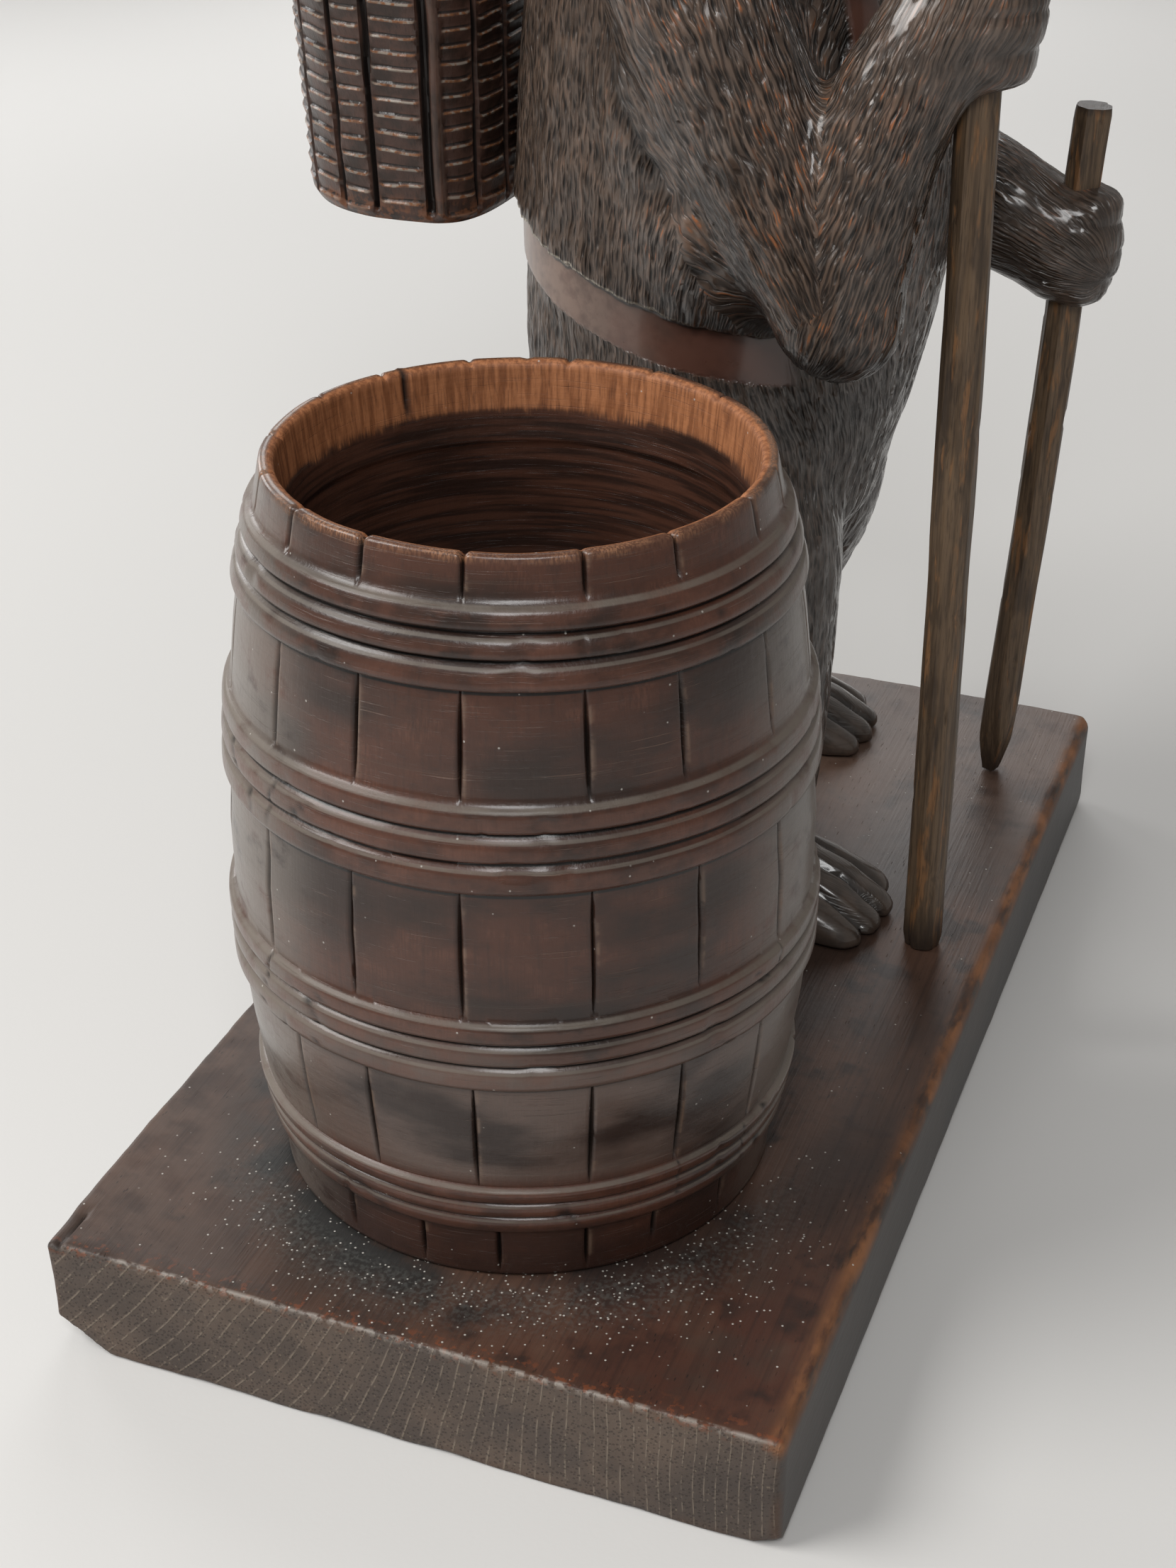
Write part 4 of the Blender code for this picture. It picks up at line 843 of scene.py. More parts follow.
def make_pannier():
    """The back basket: carved courses between upright grooves, hollow, open at the top."""
    count, inner = 352, 14
    clear_choice()
    bpy.ops.mesh.primitive_cylinder_add(vertices=count, radius=1.0, depth=1.0, end_fill_type="NGON")
    piece = bpy.context.object
    piece.name = "pannier"
    divide(piece, 2, 99)
    divide(piece, 2, 1)
    edit_all(piece, select=False, kind="FACE")
    bm = bmesh.from_edit_mesh(piece.data)
    for face in bm.faces:
        face.select = face.normal.z > 0.9
    bmesh.update_edit_mesh(piece.data)
    bpy.ops.mesh.inset(thickness=0.08)
    for _ in range(inner):
        bpy.ops.mesh.extrude_region_move(TRANSFORM_OT_translate={"value": (0.0, 0.0, -0.93 / inner)})
    done_editing()
    points = points_of(piece) * MM
    radius = np.hypot(points[:, 0], points[:, 1])
    level = points[:, 2] + 0.5
    inside = radius < 0.96
    turn = np.round(np.arctan2(points[:, 1], points[:, 0]) / (2.0 * math.pi / count)).astype(int) % count
    even, outward, round_length = basket_round(count)
    at = turn * round_length / count
    height = level * BASKET_HEIGHT
    height = np.where(inside & (level < 0.08), 6.0, height)
    growth = 1.0 + (BASKET_FLARE - 1.0) * height / (BASKET_HEIGHT - 6.0)
    growth = np.minimum(growth, BASKET_FLARE)
    wall = (~inside) & (height < BASKET_HEIGHT - 7.0)
    # upright grooves, and how far each point is from the nearest
    grooves = np.array(GROOVES)
    wander = 0.45 * drift(np.stack([at * 0.0, height], 1), (1.0, 16.0), 90)
    away = (at[:, None] + wander[:, None] - grooves[None, :] + round_length / 2.0) % round_length - round_length / 2.0
    nearest = np.abs(away).argmin(1)
    gap = away[np.arange(len(at)), nearest]
    half = np.array(GROOVE_HALVES)[nearest]
    panel = np.where(gap > 0.0, nearest, nearest - 1) % len(GROOVES)
    groove = np.clip(1.0 - np.abs(gap / half) ** 3.0, 0.0, 1.0) * (np.abs(gap) < half)
    # courses: each stands out towards its upper edge
    levels = np.linspace(0.0, BASKET_HEIGHT, 600)
    pitch = 3.55 + 1.05 * np.exp(-levels / 35.0)
    counted = np.concatenate([[0.0], np.cumsum(np.diff(levels) / pitch[1:])])
    spot = np.stack([at, height], 1)
    luck = hashed(np.stack([panel], 1), 91)
    phase = np.interp(height, levels, counted) + 0.7 * (luck - 0.5) + 0.10 * drift(spot, (7.0, 9.0), 92)
    phase -= 0.10 * ramp(np.abs(gap), 2.6, 0.8)
    course = phase % 1.0
    lap = np.where(course < 0.80, 0.15 + 0.85 * (course / 0.80) ** 1.3, np.clip(1.0 - (course - 0.80) / 0.14, 0.15, 1.0))
    stake = np.clip(1.0 - ((at + wander - STAKE_AT) / 1.5) ** 2, 0.0, 1.0) ** 0.5
    woven = 1.0 - (stake > 0.0)
    shoulder = ramp(np.abs(gap), half, half + 1.6)
    low_end = ramp(height, 0.8, 3.0)
    lift = wall * low_end * (0.95 * (lap - 1.0) * shoulder * woven + 0.35 * stake - 0.45 * (1.0 - shoulder))
    lift -= wall * low_end * 1.9 * groove
    lift += ((~inside) & ~wall & (height < BASKET_HEIGHT)) * 0.5
    lift += (~inside) * 0.16 * drift(spot, (6.0, 6.0), 93)
    lift -= (~inside) * (1.0 - ramp(height, 0.0, 2.4)) * 1.5
    lift -= inside * BASKET_WALL
    depth_shift = BASKET_DEPTHS[0] * growth
    flat = even[turn] * growth[:, None] + outward[turn] * lift[:, None]
    placed = np.stack([
        BASKET_BACK - (flat[:, 0] + depth_shift),
        BASKET_MIDDLE + flat[:, 1],
        BASKET_FOOT + height,
    ], 1)
    placed[:, 0] = np.minimum(placed[:, 0], BASKET_BACK - 0.15)
    put_points(piece, placed)
    mark(piece, "course", phase)
    mark(piece, "woven", wall * low_end * woven * shoulder)
    mark(piece, "gap", np.clip(np.abs(gap) / half, 0.0, 4.0) + 4.0 * inside + 4.0 * (1.0 - low_end))
    mark(piece, "stake", wall * stake)
    mark(piece, "low", ramp(height, 9.0, 0.0) * (~inside))
    mark(piece, "panel", luck)
    tidy_normals(piece)
    finish_piece(piece, "basket", pannier_finish(), 50)
    return piece


def pannier_finish():
    """Dark carved courses whose upper edges are worn orange or painted pale as a highlight."""
    f = Finish("basket_wood_finish")
    patch = f.grain(7.0, detail=4.0)
    fine = f.grain((0.6, 0.6, 6.0), detail=3.0)
    spot = f.grain(2.2, detail=3.0)
    woven, gap, low = f.marked("woven"), f.marked("gap"), f.marked("low")
    course = f.marked("course").sum("FRACT")
    colour = f.mix(patch.ramp(0.36, 0.62), (0.028, 0.0165, 0.0125), (0.060, 0.031, 0.023))
    colour = f.mix(fine.ramp(0.52, 0.70) * 0.45, colour, (0.018, 0.011, 0.009))
    # each course's upper edge: orange where worn, pale as a painted highlight
    highlight_and_wear_edge = course.ramp(0.66, 0.72) * course.ramp(0.86, 0.81) * woven
    highlight_and_wear_tone = f.mix(spot.ramp(0.44, 0.58), (0.19, 0.080, 0.034), (0.24, 0.205, 0.17))
    colour = f.mix(highlight_and_wear_edge * spot.ramp(0.24, 0.46) * 0.85, colour, highlight_and_wear_tone)
    under = course.ramp(0.86, 0.91) * woven
    colour = f.mix(under * 0.9, colour, (0.009, 0.0065, 0.0055))
    colour = f.mix(f.marked("stake") * 0.35 * fine.ramp(0.40, 0.60), colour, (0.10, 0.060, 0.042))
    colour = f.mix(low * spot.ramp(0.46, 0.58) * 0.7, colour, (0.17, 0.065, 0.028))
    colour = f.mix(gap.ramp(1.05, 0.75) * 0.93, colour, (0.007, 0.0055, 0.005))
    rough = 0.34 + 0.22 * (patch - 0.5) + 0.10 * (spot - 0.5)
    height = 0.12 * patch + 0.07 * fine + 0.10 * spot
    return f.wear(colour, rough, height)


# Sticks
BEAR_ORIGIN = (-8.5, 72.8, 30.3)
NEAR_PAW = (72.2, -51.0, 240.0)
FAR_PAW = (80.4, 46.8, 160.0)
STICK_FACETS = 9


def make_staff(name, node, paw, lean, radius, top, point, seed):
    """A whittled stick: long flat cuts, a sawn top and, if it has one, a point at its foot."""
    low, high = (np.array(corner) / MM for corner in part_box(node))
    lean = np.array(lean) / np.linalg.norm(lean)
    held = np.array(BEAR_ORIGIN) + np.array(paw)
    below = (held[2] - low[2] - radius * 0.03) / lean[2]
    length = below + top
    sides = 54
    clear_choice()
    bpy.ops.mesh.primitive_cylinder_add(vertices=sides, radius=1.0, depth=1.0, end_fill_type="TRIFAN")
    piece = bpy.context.object
    piece.name = name
    divide(piece, 2, 99)
    points = points_of(piece) * MM
    away = np.hypot(points[:, 0], points[:, 1])
    angle = np.arctan2(points[:, 1], points[:, 0])
    along = (points[:, 2] + 0.5) * length
    chance = random.Random(seed)
    size = np.full(len(points), 1e9)
    for facet in range(STICK_FACETS):
        middle = 2.0 * math.pi * (facet + chance.uniform(-0.18, 0.18)) / STICK_FACETS
        wave = drift(np.stack([along, along * 0.0 + facet], 1), (26.0, 1.0), seed + 7)
        reach = radius * (0.955 + 0.045 * wave)
        slope = np.cos(angle - middle - 0.10 * np.sin(along / 37.0 + facet))
        size = np.minimum(size, np.where(slope > 0.25, reach / np.maximum(slope, 0.25), 1e9))
    size = np.minimum(size, radius * 1.03)
    if point:
        for facet in range(4):
            middle = 2.0 * math.pi * (facet + 0.3) / 4.0
            start = point * (1.15 - 0.18 * (facet % 2))
            reach = radius * (0.36 + 0.64 * np.clip(along / start, 0.0, None) ** 0.85)
            slope = np.cos(angle - middle)
            size = np.minimum(size, np.where(slope > 0.2, reach / np.maximum(slope, 0.2), 1e9))
    else:
        size *= 1.0 - 0.10 * ramp(along, 3.0, 0.0)
    size *= 1.0 - 0.05 * ramp(along, length - 1.2, length)
    streaks = drift(np.stack([angle * radius, along], 1), (0.9, 26.0), seed + 1)
    size += 0.07 * streaks
    nick = ramp(drift(np.stack([angle * radius, along], 1), (3.0, 2.2), seed + 2), 0.72, 0.9)
    size -= 0.5 * nick
    across = Vector(lean).orthogonal().normalized()
    other = Vector(lean).cross(across)
    across = np.array(across)
    other = np.array(other)
    bow = 0.45 * np.sin(along / length * math.pi * 1.4)
    spread = away * size
    placed = (
        held - lean * below + along[:, None] * lean
        + (spread * np.cos(angle) + bow)[:, None] * across
        + (spread * np.sin(angle))[:, None] * other
    )
    placed[:, 2] = np.maximum(placed[:, 2], low[2])
    put_points(piece, placed)
    tidy_normals(piece)
    mark(piece, "ends", np.clip(ramp(along, 14.0, 2.0) + ramp(along, length - 1.0, length - 0.3), 0, 1))
    mark(piece, "streak", 0.5 + 0.5 * streaks)
    mark(piece, "nick", nick)
    finish_piece(piece, node, staff_finish(name + "_wood", lean), 24)
    return piece


def staff_finish(name, lean):
    """Olive brown bark-stained wood with orange streaks where the knife ran."""
    f = Finish(name)
    streak = f.grain((1.0, 1.0, 30.0), detail=4.0)
    patch = f.grain((2.6, 2.6, 16.0), detail=4.0)
    fine = f.grain((0.35, 0.35, 6.0), detail=2.0)
    colour = f.mix(streak.ramp(0.34, 0.62), (0.066, 0.043, 0.026), (0.128, 0.084, 0.050))
    colour = f.mix(f.grain((5.0, 5.0, 20.0), detail=4.0).ramp(0.50, 0.64) * 0.50, colour, (0.032, 0.022, 0.016))
    colour = f.mix(patch.ramp(0.56, 0.66) * 0.65, colour, (0.24, 0.115, 0.046))
    colour = f.mix(fine.ramp(0.5, 0.68) * 0.45, colour, (0.018, 0.012, 0.009))
    colour = f.mix(f.marked("ends") * 0.75, colour, (0.020, 0.014, 0.011))
    height = 0.16 * streak + 0.06 * fine + 0.1 * patch
    return f.wear(colour, 0.50 + 0.2 * (patch - 0.5), height)


# Bear, laid out in millimetres from its soles: x forward, y to its left, z up
TORSO = (      # height, forward shift of the middle, half width, half depth
    (86, 3, 34, 31), (96, 1.4, 46, 41.6), (108, -0.6, 50.5, 46.1), (121, -1.6, 52.5, 48.1),
    (145, 0.4, 55, 51.8), (167, 2.4, 56.5, 54.1), (192, 2.4, 56.5, 54.6), (218, 1.4, 56, 53.1),
    (243, 0.4, 54, 48.6), (263, 0.2, 50, 43.8),
)
PARTS = (      # where the fur runs: start, end, radius at each, and the side where its seam is not
    ((0, 0, 112), (0, 0, 262), 50, 52, (0, -1, 0)),
    ((2, -44, 256), (43, -60, 176), 21, 15.5, (0.2, -1, 0)),
    ((45, -60, 173), (64, -52.5, 234), 15.5, 15, (0.2, -1, 0)),
    ((2, 44, 256), (24, 60, 187), 21, 17.5, (0, 1, 0)),
    ((24, 60, 184), (74, 46.8, 161), 17.5, 14, (0, 0, 1)),
    ((2, -27, 110), (15, -43, 22), 33, 23, (0, -1, 0)),
    ((4, 27, 110), (-12, 47, 22), 32, 23, (0, 1, 0)),
    ((-14, 0, 322), (62, 0, 316), 38, 18, (0, 0, 1)),
    ((4, -43, 8), (52, -45.5, 4), 15, 9, (0, 0, 1)),
    ((-26, 46, 8), (22, 52, 4), 15, 9, (0, 0, 1)),
)
CROOK = np.array((6.0, 54.0, 190.0))
FEET = ((28.0, -44.0, -3.0), (-2.0, 49.0, 8.0))
TOE_GAPS = (-9.5, 0.0, 9.5)
NEAR_LEAN = (-0.0143, 0.0, 1.0)
FAR_LEAN = (0.0515, 0.009, 1.0)
FISTS = ((NEAR_PAW, NEAR_LEAN, 18.0), (FAR_PAW, FAR_LEAN, 16.5))
BELT_AXIS = np.array((0.22, -0.12, 1.0)) / np.linalg.norm((0.22, -0.12, 1.0))
BELT_MIDDLE = np.array((0.0, 0.0, 164.9))
BELT_HALF = 6.6
BELT_END = 33.0                  # how far forward it runs, to under the elbows
STRAP = ((-47.5, 24, 262), (-31, 31, 280), (-4, 36, 288), (22, 36, 278), (40, 37, 252), (46, 37, 226), (42, 42, 206))
STRAP_HALF = 4.8
GIRTH = 54.0                     # mean radius of the trunk, which the fur is measured round
MOUTH_HEIGHT = 312.0
EYE = (45.8, 18.9, 337.3)


def part_frames(points):
    """For each part of the body: how far off the points lie, how far along and at what angle."""
    found = []
    for start, end, first, last, facing in PARTS:
        start, end = np.array(start, float), np.array(end, float)
        length = np.linalg.norm(end - start)
        way = (end - start) / length
        ahead = np.array(facing, float)
        ahead -= way * (ahead @ way)
        ahead /= np.linalg.norm(ahead)
        beside = np.cross(way, ahead)
        offset = points - start
        along = offset @ way
        inside = np.clip(along / length, 0.0, 1.0)
        radius = first + (last - first) * inside
        gap = np.linalg.norm(offset - inside[:, None] * length * way, axis=1) - radius
        if not found:      # the trunk's fur runs on into the crooks of the arms
            mirrored = points * (1.0, 0.0, 1.0) + np.abs(points) * (0.0, 1.0, 0.0)
            gap = gap - 6.0 * np.exp(-((np.linalg.norm(mirrored - CROOK, axis=1) / 22.0) ** 2))
        found.append((gap, along, np.arctan2(offset @ beside, offset @ ahead), (first + last) / 2.0))
    return found


def trunk_coat(x, y, z, side):
    """The lie of the fur on the trunk: upright at the back, slanting to the shoulder in front."""
    round_way = (math.pi - np.arctan2(y, x) * side) * GIRTH
    round_way = np.where(round_way > 1.8 * math.pi * GIRTH, round_way - 2.0 * math.pi * GIRTH, round_way)
    slant = 0.44 * ramp(round_way, 62.0, 118.0) * (1.0 - 0.6 * ramp(round_way, 135.0, 168.0))
    slant = slant * ramp(z, 120.0, 175.0)
    return round_way - slant * (z - 190.0), z


def strap_gap(points):
    """How far each point lies beside the nearer shoulder strap."""
    line = np.array(STRAP, float)
    mirrored = points * np.array((1.0, 0.0, 1.0)) + np.abs(points) * np.array((0.0, 1.0, 0.0))
    nearest = np.full(len(points), 1e9)
    for start, end in zip(line, line[1:]):
        run = end - start
        share = np.clip((mirrored - start) @ run / (run @ run), 0.0, 1.0)
        offset = mirrored - start - share[:, None] * run
        out = start + share[:, None] * run - np.array((-2.0, 0.0, 250.0))
        out[:, 2] *= 0.25
        out /= np.linalg.norm(out, axis=1, keepdims=True)
        lift = (offset * out).sum(1)
        aside = np.sqrt(np.maximum((offset**2).sum(1) - np.clip(lift, -9.0, 9.0) ** 2, 0.0))
        nearest = np.minimum(nearest, aside)
    return nearest


def belt_place(points, angle):
    """How far each point lies above the belt's middle, and where the coat's ragged edge is."""
    around = angle * GIRTH
    spot = np.stack([around, around * 0.0], 1)
    edge = BELT_HALF + 0.50 * drift(spot, 2.4, 201) + 0.50 * drift(spot, 9.0, 202)
    return (points - BELT_MIDDLE) @ BELT_AXIS, edge


def torso_reach(points):
    """How far the plain trunk reaches at each point's height and side."""
    table = np.array(TORSO, float)
    middle = np.interp(points[:, 2], table[:, 0], table[:, 1])
    width = np.interp(points[:, 2], table[:, 0], table[:, 2])
    depth = np.interp(points[:, 2], table[:, 0], table[:, 3])
    angle = np.arctan2(points[:, 1], points[:, 0] - middle)
    return middle, angle, 1.0 / np.hypot(np.cos(angle) / depth, np.sin(angle) / width)


def add_ball(place, radii):
    """A ball of the bear's block, to be joined to it."""
    spot = (np.array(BEAR_ORIGIN) + np.array(place)) * MM
    bpy.ops.mesh.primitive_uv_sphere_add(segments=32, ring_count=20, radius=1.0, location=spot)
    ball = bpy.context.object
    ball.scale = [radius * MM for radius in radii]
    bpy.ops.object.transform_apply(location=True, rotation=True, scale=True)
    return ball


def add_plug(place, lean):
    """Fills the hole that the CAD leaves for a stick."""
    spot = (np.array(BEAR_ORIGIN) + np.array(place)) * MM
    bpy.ops.mesh.primitive_cylinder_add(vertices=32, radius=0.0062, depth=0.028, location=spot)
    plug = bpy.context.object
    plug.rotation_euler = Vector(lean).to_track_quat("Z", "Y").to_euler()
    bpy.ops.object.transform_apply(location=True, rotation=True, scale=True)
    return plug


def bear_block():
    """The bear's form before its fur: the CAD solid eased, with eyes, nose and plugs joined."""
    clear_choice()
    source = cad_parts["bear"]
    piece = source.copy()
    piece.data = source.data.copy()
    piece.name = "carved_bear"
    for key in list(piece.keys()):
        del piece[key]
    piece.parent = None
    bpy.context.scene.collection.objects.link(piece)
    tidy_normals(piece)
    plugs = [add_plug(paw, lean) for paw, lean, _ in FISTS]
    for paw, _, tall in FISTS:
        plugs.append(add_ball((paw[0] + 1.5, paw[1], paw[2]), (0.69 * tall, 0.74 * tall, 1.04 * tall)))
    choose(piece, *plugs)
    bpy.ops.object.join()
    use_modifier(piece, "REMESH", mode="VOXEL", voxel_size=0.0016)
    use_modifier(piece, "SMOOTH", factor=0.5, iterations=7)
    forms = [add_ball((80.0, 0.0, 323.5), (6.6, 9.8, 6.9))]
    for side in (-1, 1):
        forms.append(add_ball((EYE[0], EYE[1] * side, EYE[2]), (4.6, 4.3, 4.6)))
    choose(piece, *forms)
    bpy.ops.object.join()
    use_modifier(piece, "REMESH", mode="VOXEL", voxel_size=0.00078)
    use_modifier(piece, "SMOOTH", factor=0.5, iterations=2)
    return piece


def foot_and_fist_cuts(points):
    """The cuts between toes and fingers, and how smooth the paws are."""
    x, y, z = points.T
    depth, smooth = np.zeros(len(points)), np.zeros(len(points))
    for middle_x, middle_y, turn in FEET:
        turn = math.radians(turn)
        ahead = (x - middle_x) * math.cos(turn) + (y - middle_y) * math.sin(turn)
        aside = (y - middle_y) * math.cos(turn) - (x - middle_x) * math.sin(turn)
        near = (np.abs(aside) < 24.0) & (ahead > -6.0) & (ahead < 42.0) & (z < 24.0)
        for gap in TOE_GAPS:
            line = gap * (1.0 + 0.05 * ramp(ahead, 10.0, 35.0))
            depth += near * 2.6 * np.exp(-(((aside - line) / 1.15) ** 2)) * ramp(ahead, 2.0, 14.0)
        smooth = np.maximum(smooth, near * ramp(ahead, -2.0, 10.0))
    for centre, lean, height in FISTS:
        offset = points - np.array(centre)
        lean = np.array(lean) / np.linalg.norm(lean)
        along = offset @ lean
        away = np.linalg.norm(offset, axis=1)
        near = ramp(away, 27.0, 22.0)
        for gap in (-1, 0, 1):
            line = np.exp(-(((along - gap * height * 0.46) / 0.95) ** 2))
            depth += near * 0.45 * line * ramp(offset[:, 0], -3.0, 5.0)
        smooth = np.maximum(smooth, 0.45 * near)
    return depth, smooth


def face_cuts(points, normals):
    """The mouth, the nostrils and the hollows of the ears, and how smooth the face is."""
    x, y, z = points.T
    sag = MOUTH_HEIGHT - 2.0 * ramp(x, 58.0, 46.0)
    mouth = 1.9 * np.exp(-(((z - sag) / 1.0) ** 2)) * ramp(x, 44.0, 50.0)
    split = 1.2 * np.exp(-((y / 0.8) ** 2)) * ramp(x, 74.0, 80.0) * (z > MOUTH_HEIGHT) * (z < 321.0)
    nostril = 2.2 * np.exp(-((np.abs(y) - 4.4) ** 2 + (z - 323.0) ** 2) / 3.4) * ramp(x, 80.0, 84.0)
    ear = np.hypot(np.abs(y) - 34.0, z - 359.0) / 9.5
    cup = 1.8 * ramp(ear, 1.0, 0.3) * (normals[:, 0] > 0.2) * (x > -8.0)
    eye_gap = np.linalg.norm(np.stack([x - EYE[0], np.abs(y) - EYE[1], z - EYE[2]], 1), axis=1)
    lid = 0.9 * np.exp(-(((eye_gap - 5.6) / 0.9) ** 2)) * (z > 300.0)
    muzzle = ramp(x, 40.0, 62.0) * (z > 290.0)
    return mouth + split + nostril + cup + lid, np.maximum(0.75 * muzzle, ramp(eye_gap, 7.0, 5.0)), eye_gap


def make_bear():
    """The carved bear: its block with belt, straps, toes and fingers cut and its coat gouged."""
    piece = bear_block()
    points = points_of(piece) - np.array(BEAR_ORIGIN)
    normals = normals_of(piece)
    parts = part_frames(points)
    gaps = np.array([part[0] for part in parts])
    nearest = gaps.min(0)
    x, y, z = points.T
    # belt and straps
    middle, angle, reach = torso_reach(points)
    here = np.hypot(x - middle, y)
    trunk = ramp(np.minimum(gaps[1], gaps[3]) - gaps[0], -5.0, -1.0) * (np.abs(here - reach) < 7.0)
    above, edge = belt_place(points, angle)
    trunk = trunk * ramp(x, BELT_END + 1.0, BELT_END - 3.0)
    belt = trunk * ramp(above, edge + 0.5, edge - 0.5) * ramp(above, -BELT_HALF - 0.5, -BELT_HALF + 0.3)
    lip = trunk * ramp(above, edge - 0.3, edge + 0.5) * np.exp(-np.clip(above - edge, 0.0, None) / 5.0)
    strap_aside = strap_gap(points)
    on_trunk = ramp(gaps[0] - np.minimum(gaps[1], gaps[3]), 6.0, 2.0) * (z > 200.0) * (z < 300.0)
    strap = on_trunk * ramp(strap_aside, STRAP_HALF + 0.4, STRAP_HALF - 0.4)
    strap_edge = on_trunk * np.exp(-(((strap_aside - STRAP_HALF - 0.5) / 0.7) ** 2))
    out = np.stack([x - middle, y, x * 0.0], 1)
    out /= np.maximum(np.linalg.norm(out, axis=1, keepdims=True), 1e-6)
    points = points + out * (belt * (reach - 0.25 - here) + lip * 0.85)[:, None]
    # fur
    cuts, paw = foot_and_fist_cuts(points)
    features, bare_face, eye_gap = face_cuts(points, normals)
    fur = (1.0 - np.clip(belt + strap, 0, 1)) * (1.0 - 0.90 * paw) * (1.0 - bare_face) * ramp(z, 0.5, 5.0)
    tuft, stroke, total = (np.zeros(len(points)) for _ in range(3))
    for number, (gap, along, turn, radius) in enumerate(parts):
        share = np.exp(-(gap - nearest) / 1.6)
        some = np.flatnonzero(share > 0.03)
        if number == 0:
            side = np.where(y[some] < 0.0, -1.0, 1.0)
            across, up = trunk_coat(x[some], y[some], z[some], side)
            across = across * side
        else:
            across, up = turn[some] * radius, along[some]
        wave = 1.2 * drift(np.stack([across, up], 1), (16.0, 26.0), 210 + number)
        across = across + wave
        tuft[some] += share[some] * knife_marks(across, up, 4.6, 17.0, 220 + number, 0.7, 0.2)
        stroke[some] += share[some] * knife_marks(across, up, 2.1, 9.0, 240 + number, 0.8, 0.25)
        total[some] += share[some]
    tuft, stroke = tuft / total, stroke / total
    lumps = drift(points, 13.0, 261)
    # a channel where the arms leave the trunk, and painted shade on the downward-facing underside of the coat over
    # the belt
    arms = np.minimum(np.minimum(gaps[1], gaps[2]), np.minimum(gaps[3], gaps[4]))
    channel = np.exp(-(((gaps[0] - arms) / 2.2) ** 2)) * ramp(z, 186.0, 200.0) * fur
    under = ramp(-normals[:, 2], 0.15, 0.55) * ramp(x, -6.0, 10.0) * (z > 150.0) * (z < 200.0) * fur
    depth = fur * (0.62 * tuft + 0.62 * stroke) - 0.25 * fur + 0.22 * fur * lumps + 0.5 * channel
    depth += cuts + features + 0.5 * strap_edge - 0.55 * strap
    depth -= paw * 0.12 * drift(points, 5.0, 262)
    points = points - normals * depth[:, None]
    points[:, 2] = np.maximum(points[:, 2], 0.0)
    put_points(piece, points + np.array(BEAR_ORIGIN))
    kept = {
        "cut": np.clip(fur * (0.55 * tuft + 0.75 * stroke), 0, 1),
        "crest": np.clip(fur * (1.0 - 1.6 * stroke - 0.8 * tuft), 0, 1),
        "fur": fur,
        "belt": np.clip(belt + strap, 0, 1),
        "trunk": trunk,
        # dark cuts, and painted shade in the arm channel and under the coat's bulge
        "crease_and_shade": np.clip(cuts / 2.0 + features / 1.6 + strap_edge * 0.8 + 0.6 * channel + 0.9 * under, 0, 1),
        "paw": np.clip(paw, 0, 1),
        "eye": ramp(eye_gap, 5.2, 4.4) * (z > 300.0),
    }
    thin_out(piece, 196000, kept)
    left = points_of(piece) - np.array(BEAR_ORIGIN)
    above, edge = belt_place(left, torso_reach(left)[1])
    mark(piece, "above", np.clip(above - edge, -30.0, 30.0))
    lay_coat(piece)
    finish_piece(piece, "bear", bear_finish())
    return piece


def thin_out(piece, triangles, kept):
    """Brings a carved piece to this many triangles and carries its marks over."""
    tree = kdtree.KDTree(len(piece.data.vertices))
    for number, vertex in enumerate(piece.data.vertices):
        tree.insert(vertex.co, number)
    tree.balance()
    furred = piece.vertex_groups.new(name="furred")
    furred.add(np.flatnonzero(kept["belt"] < 0.02).tolist(), 1.0, "REPLACE")
    settings = {"vertex_group": "furred", "vertex_group_factor": 0.5}
    use_modifier(piece, "DECIMATE", ratio=triangles / (2.0 * len(piece.data.polygons)), **settings)
    source = np.array([tree.find(vertex.co)[1] for vertex in piece.data.vertices])
    for name, values in kept.items():
        mark(piece, name, values[source])


def lay_coat(piece):
    """Stores on each face's corners how the fur lies there: across it and along it."""
    mesh = piece.data
    corners = len(mesh.loops)
    vertex = np.empty(corners, np.int32)
    mesh.loops.foreach_get("vertex_index", vertex)
    sizes = np.empty(len(mesh.polygons), np.int32)
    mesh.polygons.foreach_get("loop_total", sizes)
    face = np.repeat(np.arange(len(sizes)), sizes)
    points = points_of(piece) - np.array(BEAR_ORIGIN)
    centres = np.zeros((len(sizes), 3))
    np.add.at(centres, face, points[vertex])
    centres /= sizes[:, None]
    at_centre, at_corner = part_frames(centres), part_frames(points[vertex])
    number = np.array([part[0] for part in at_centre]).argmin(0)[face]
    side = np.where(centres[:, 1] < 0.0, -1.0, 1.0)[face]
    x, y, z = points[vertex].T
    coat = np.zeros((corners, 3))
    across, up = trunk_coat(x, y, z, side)
    coat[:, 0], coat[:, 1] = across * side + 900.0 * side, up
    for count in range(1, len(PARTS)):
        mine = number == count
        middle_turn = at_centre[count][2][face][mine]
        turn = at_corner[count][2][mine]
        turn = middle_turn + (turn - middle_turn + math.pi) % (2.0 * math.pi) - math.pi
        coat[mine, 0] = turn * at_corner[count][3] + 300.0 * count
        coat[mine, 1] = at_corner[count][1][mine]
    layer = mesh.attributes.new("coat", "FLOAT_VECTOR", "CORNER")
    layer.data.foreach_set("vector", coat.astype(np.float32).ravel())


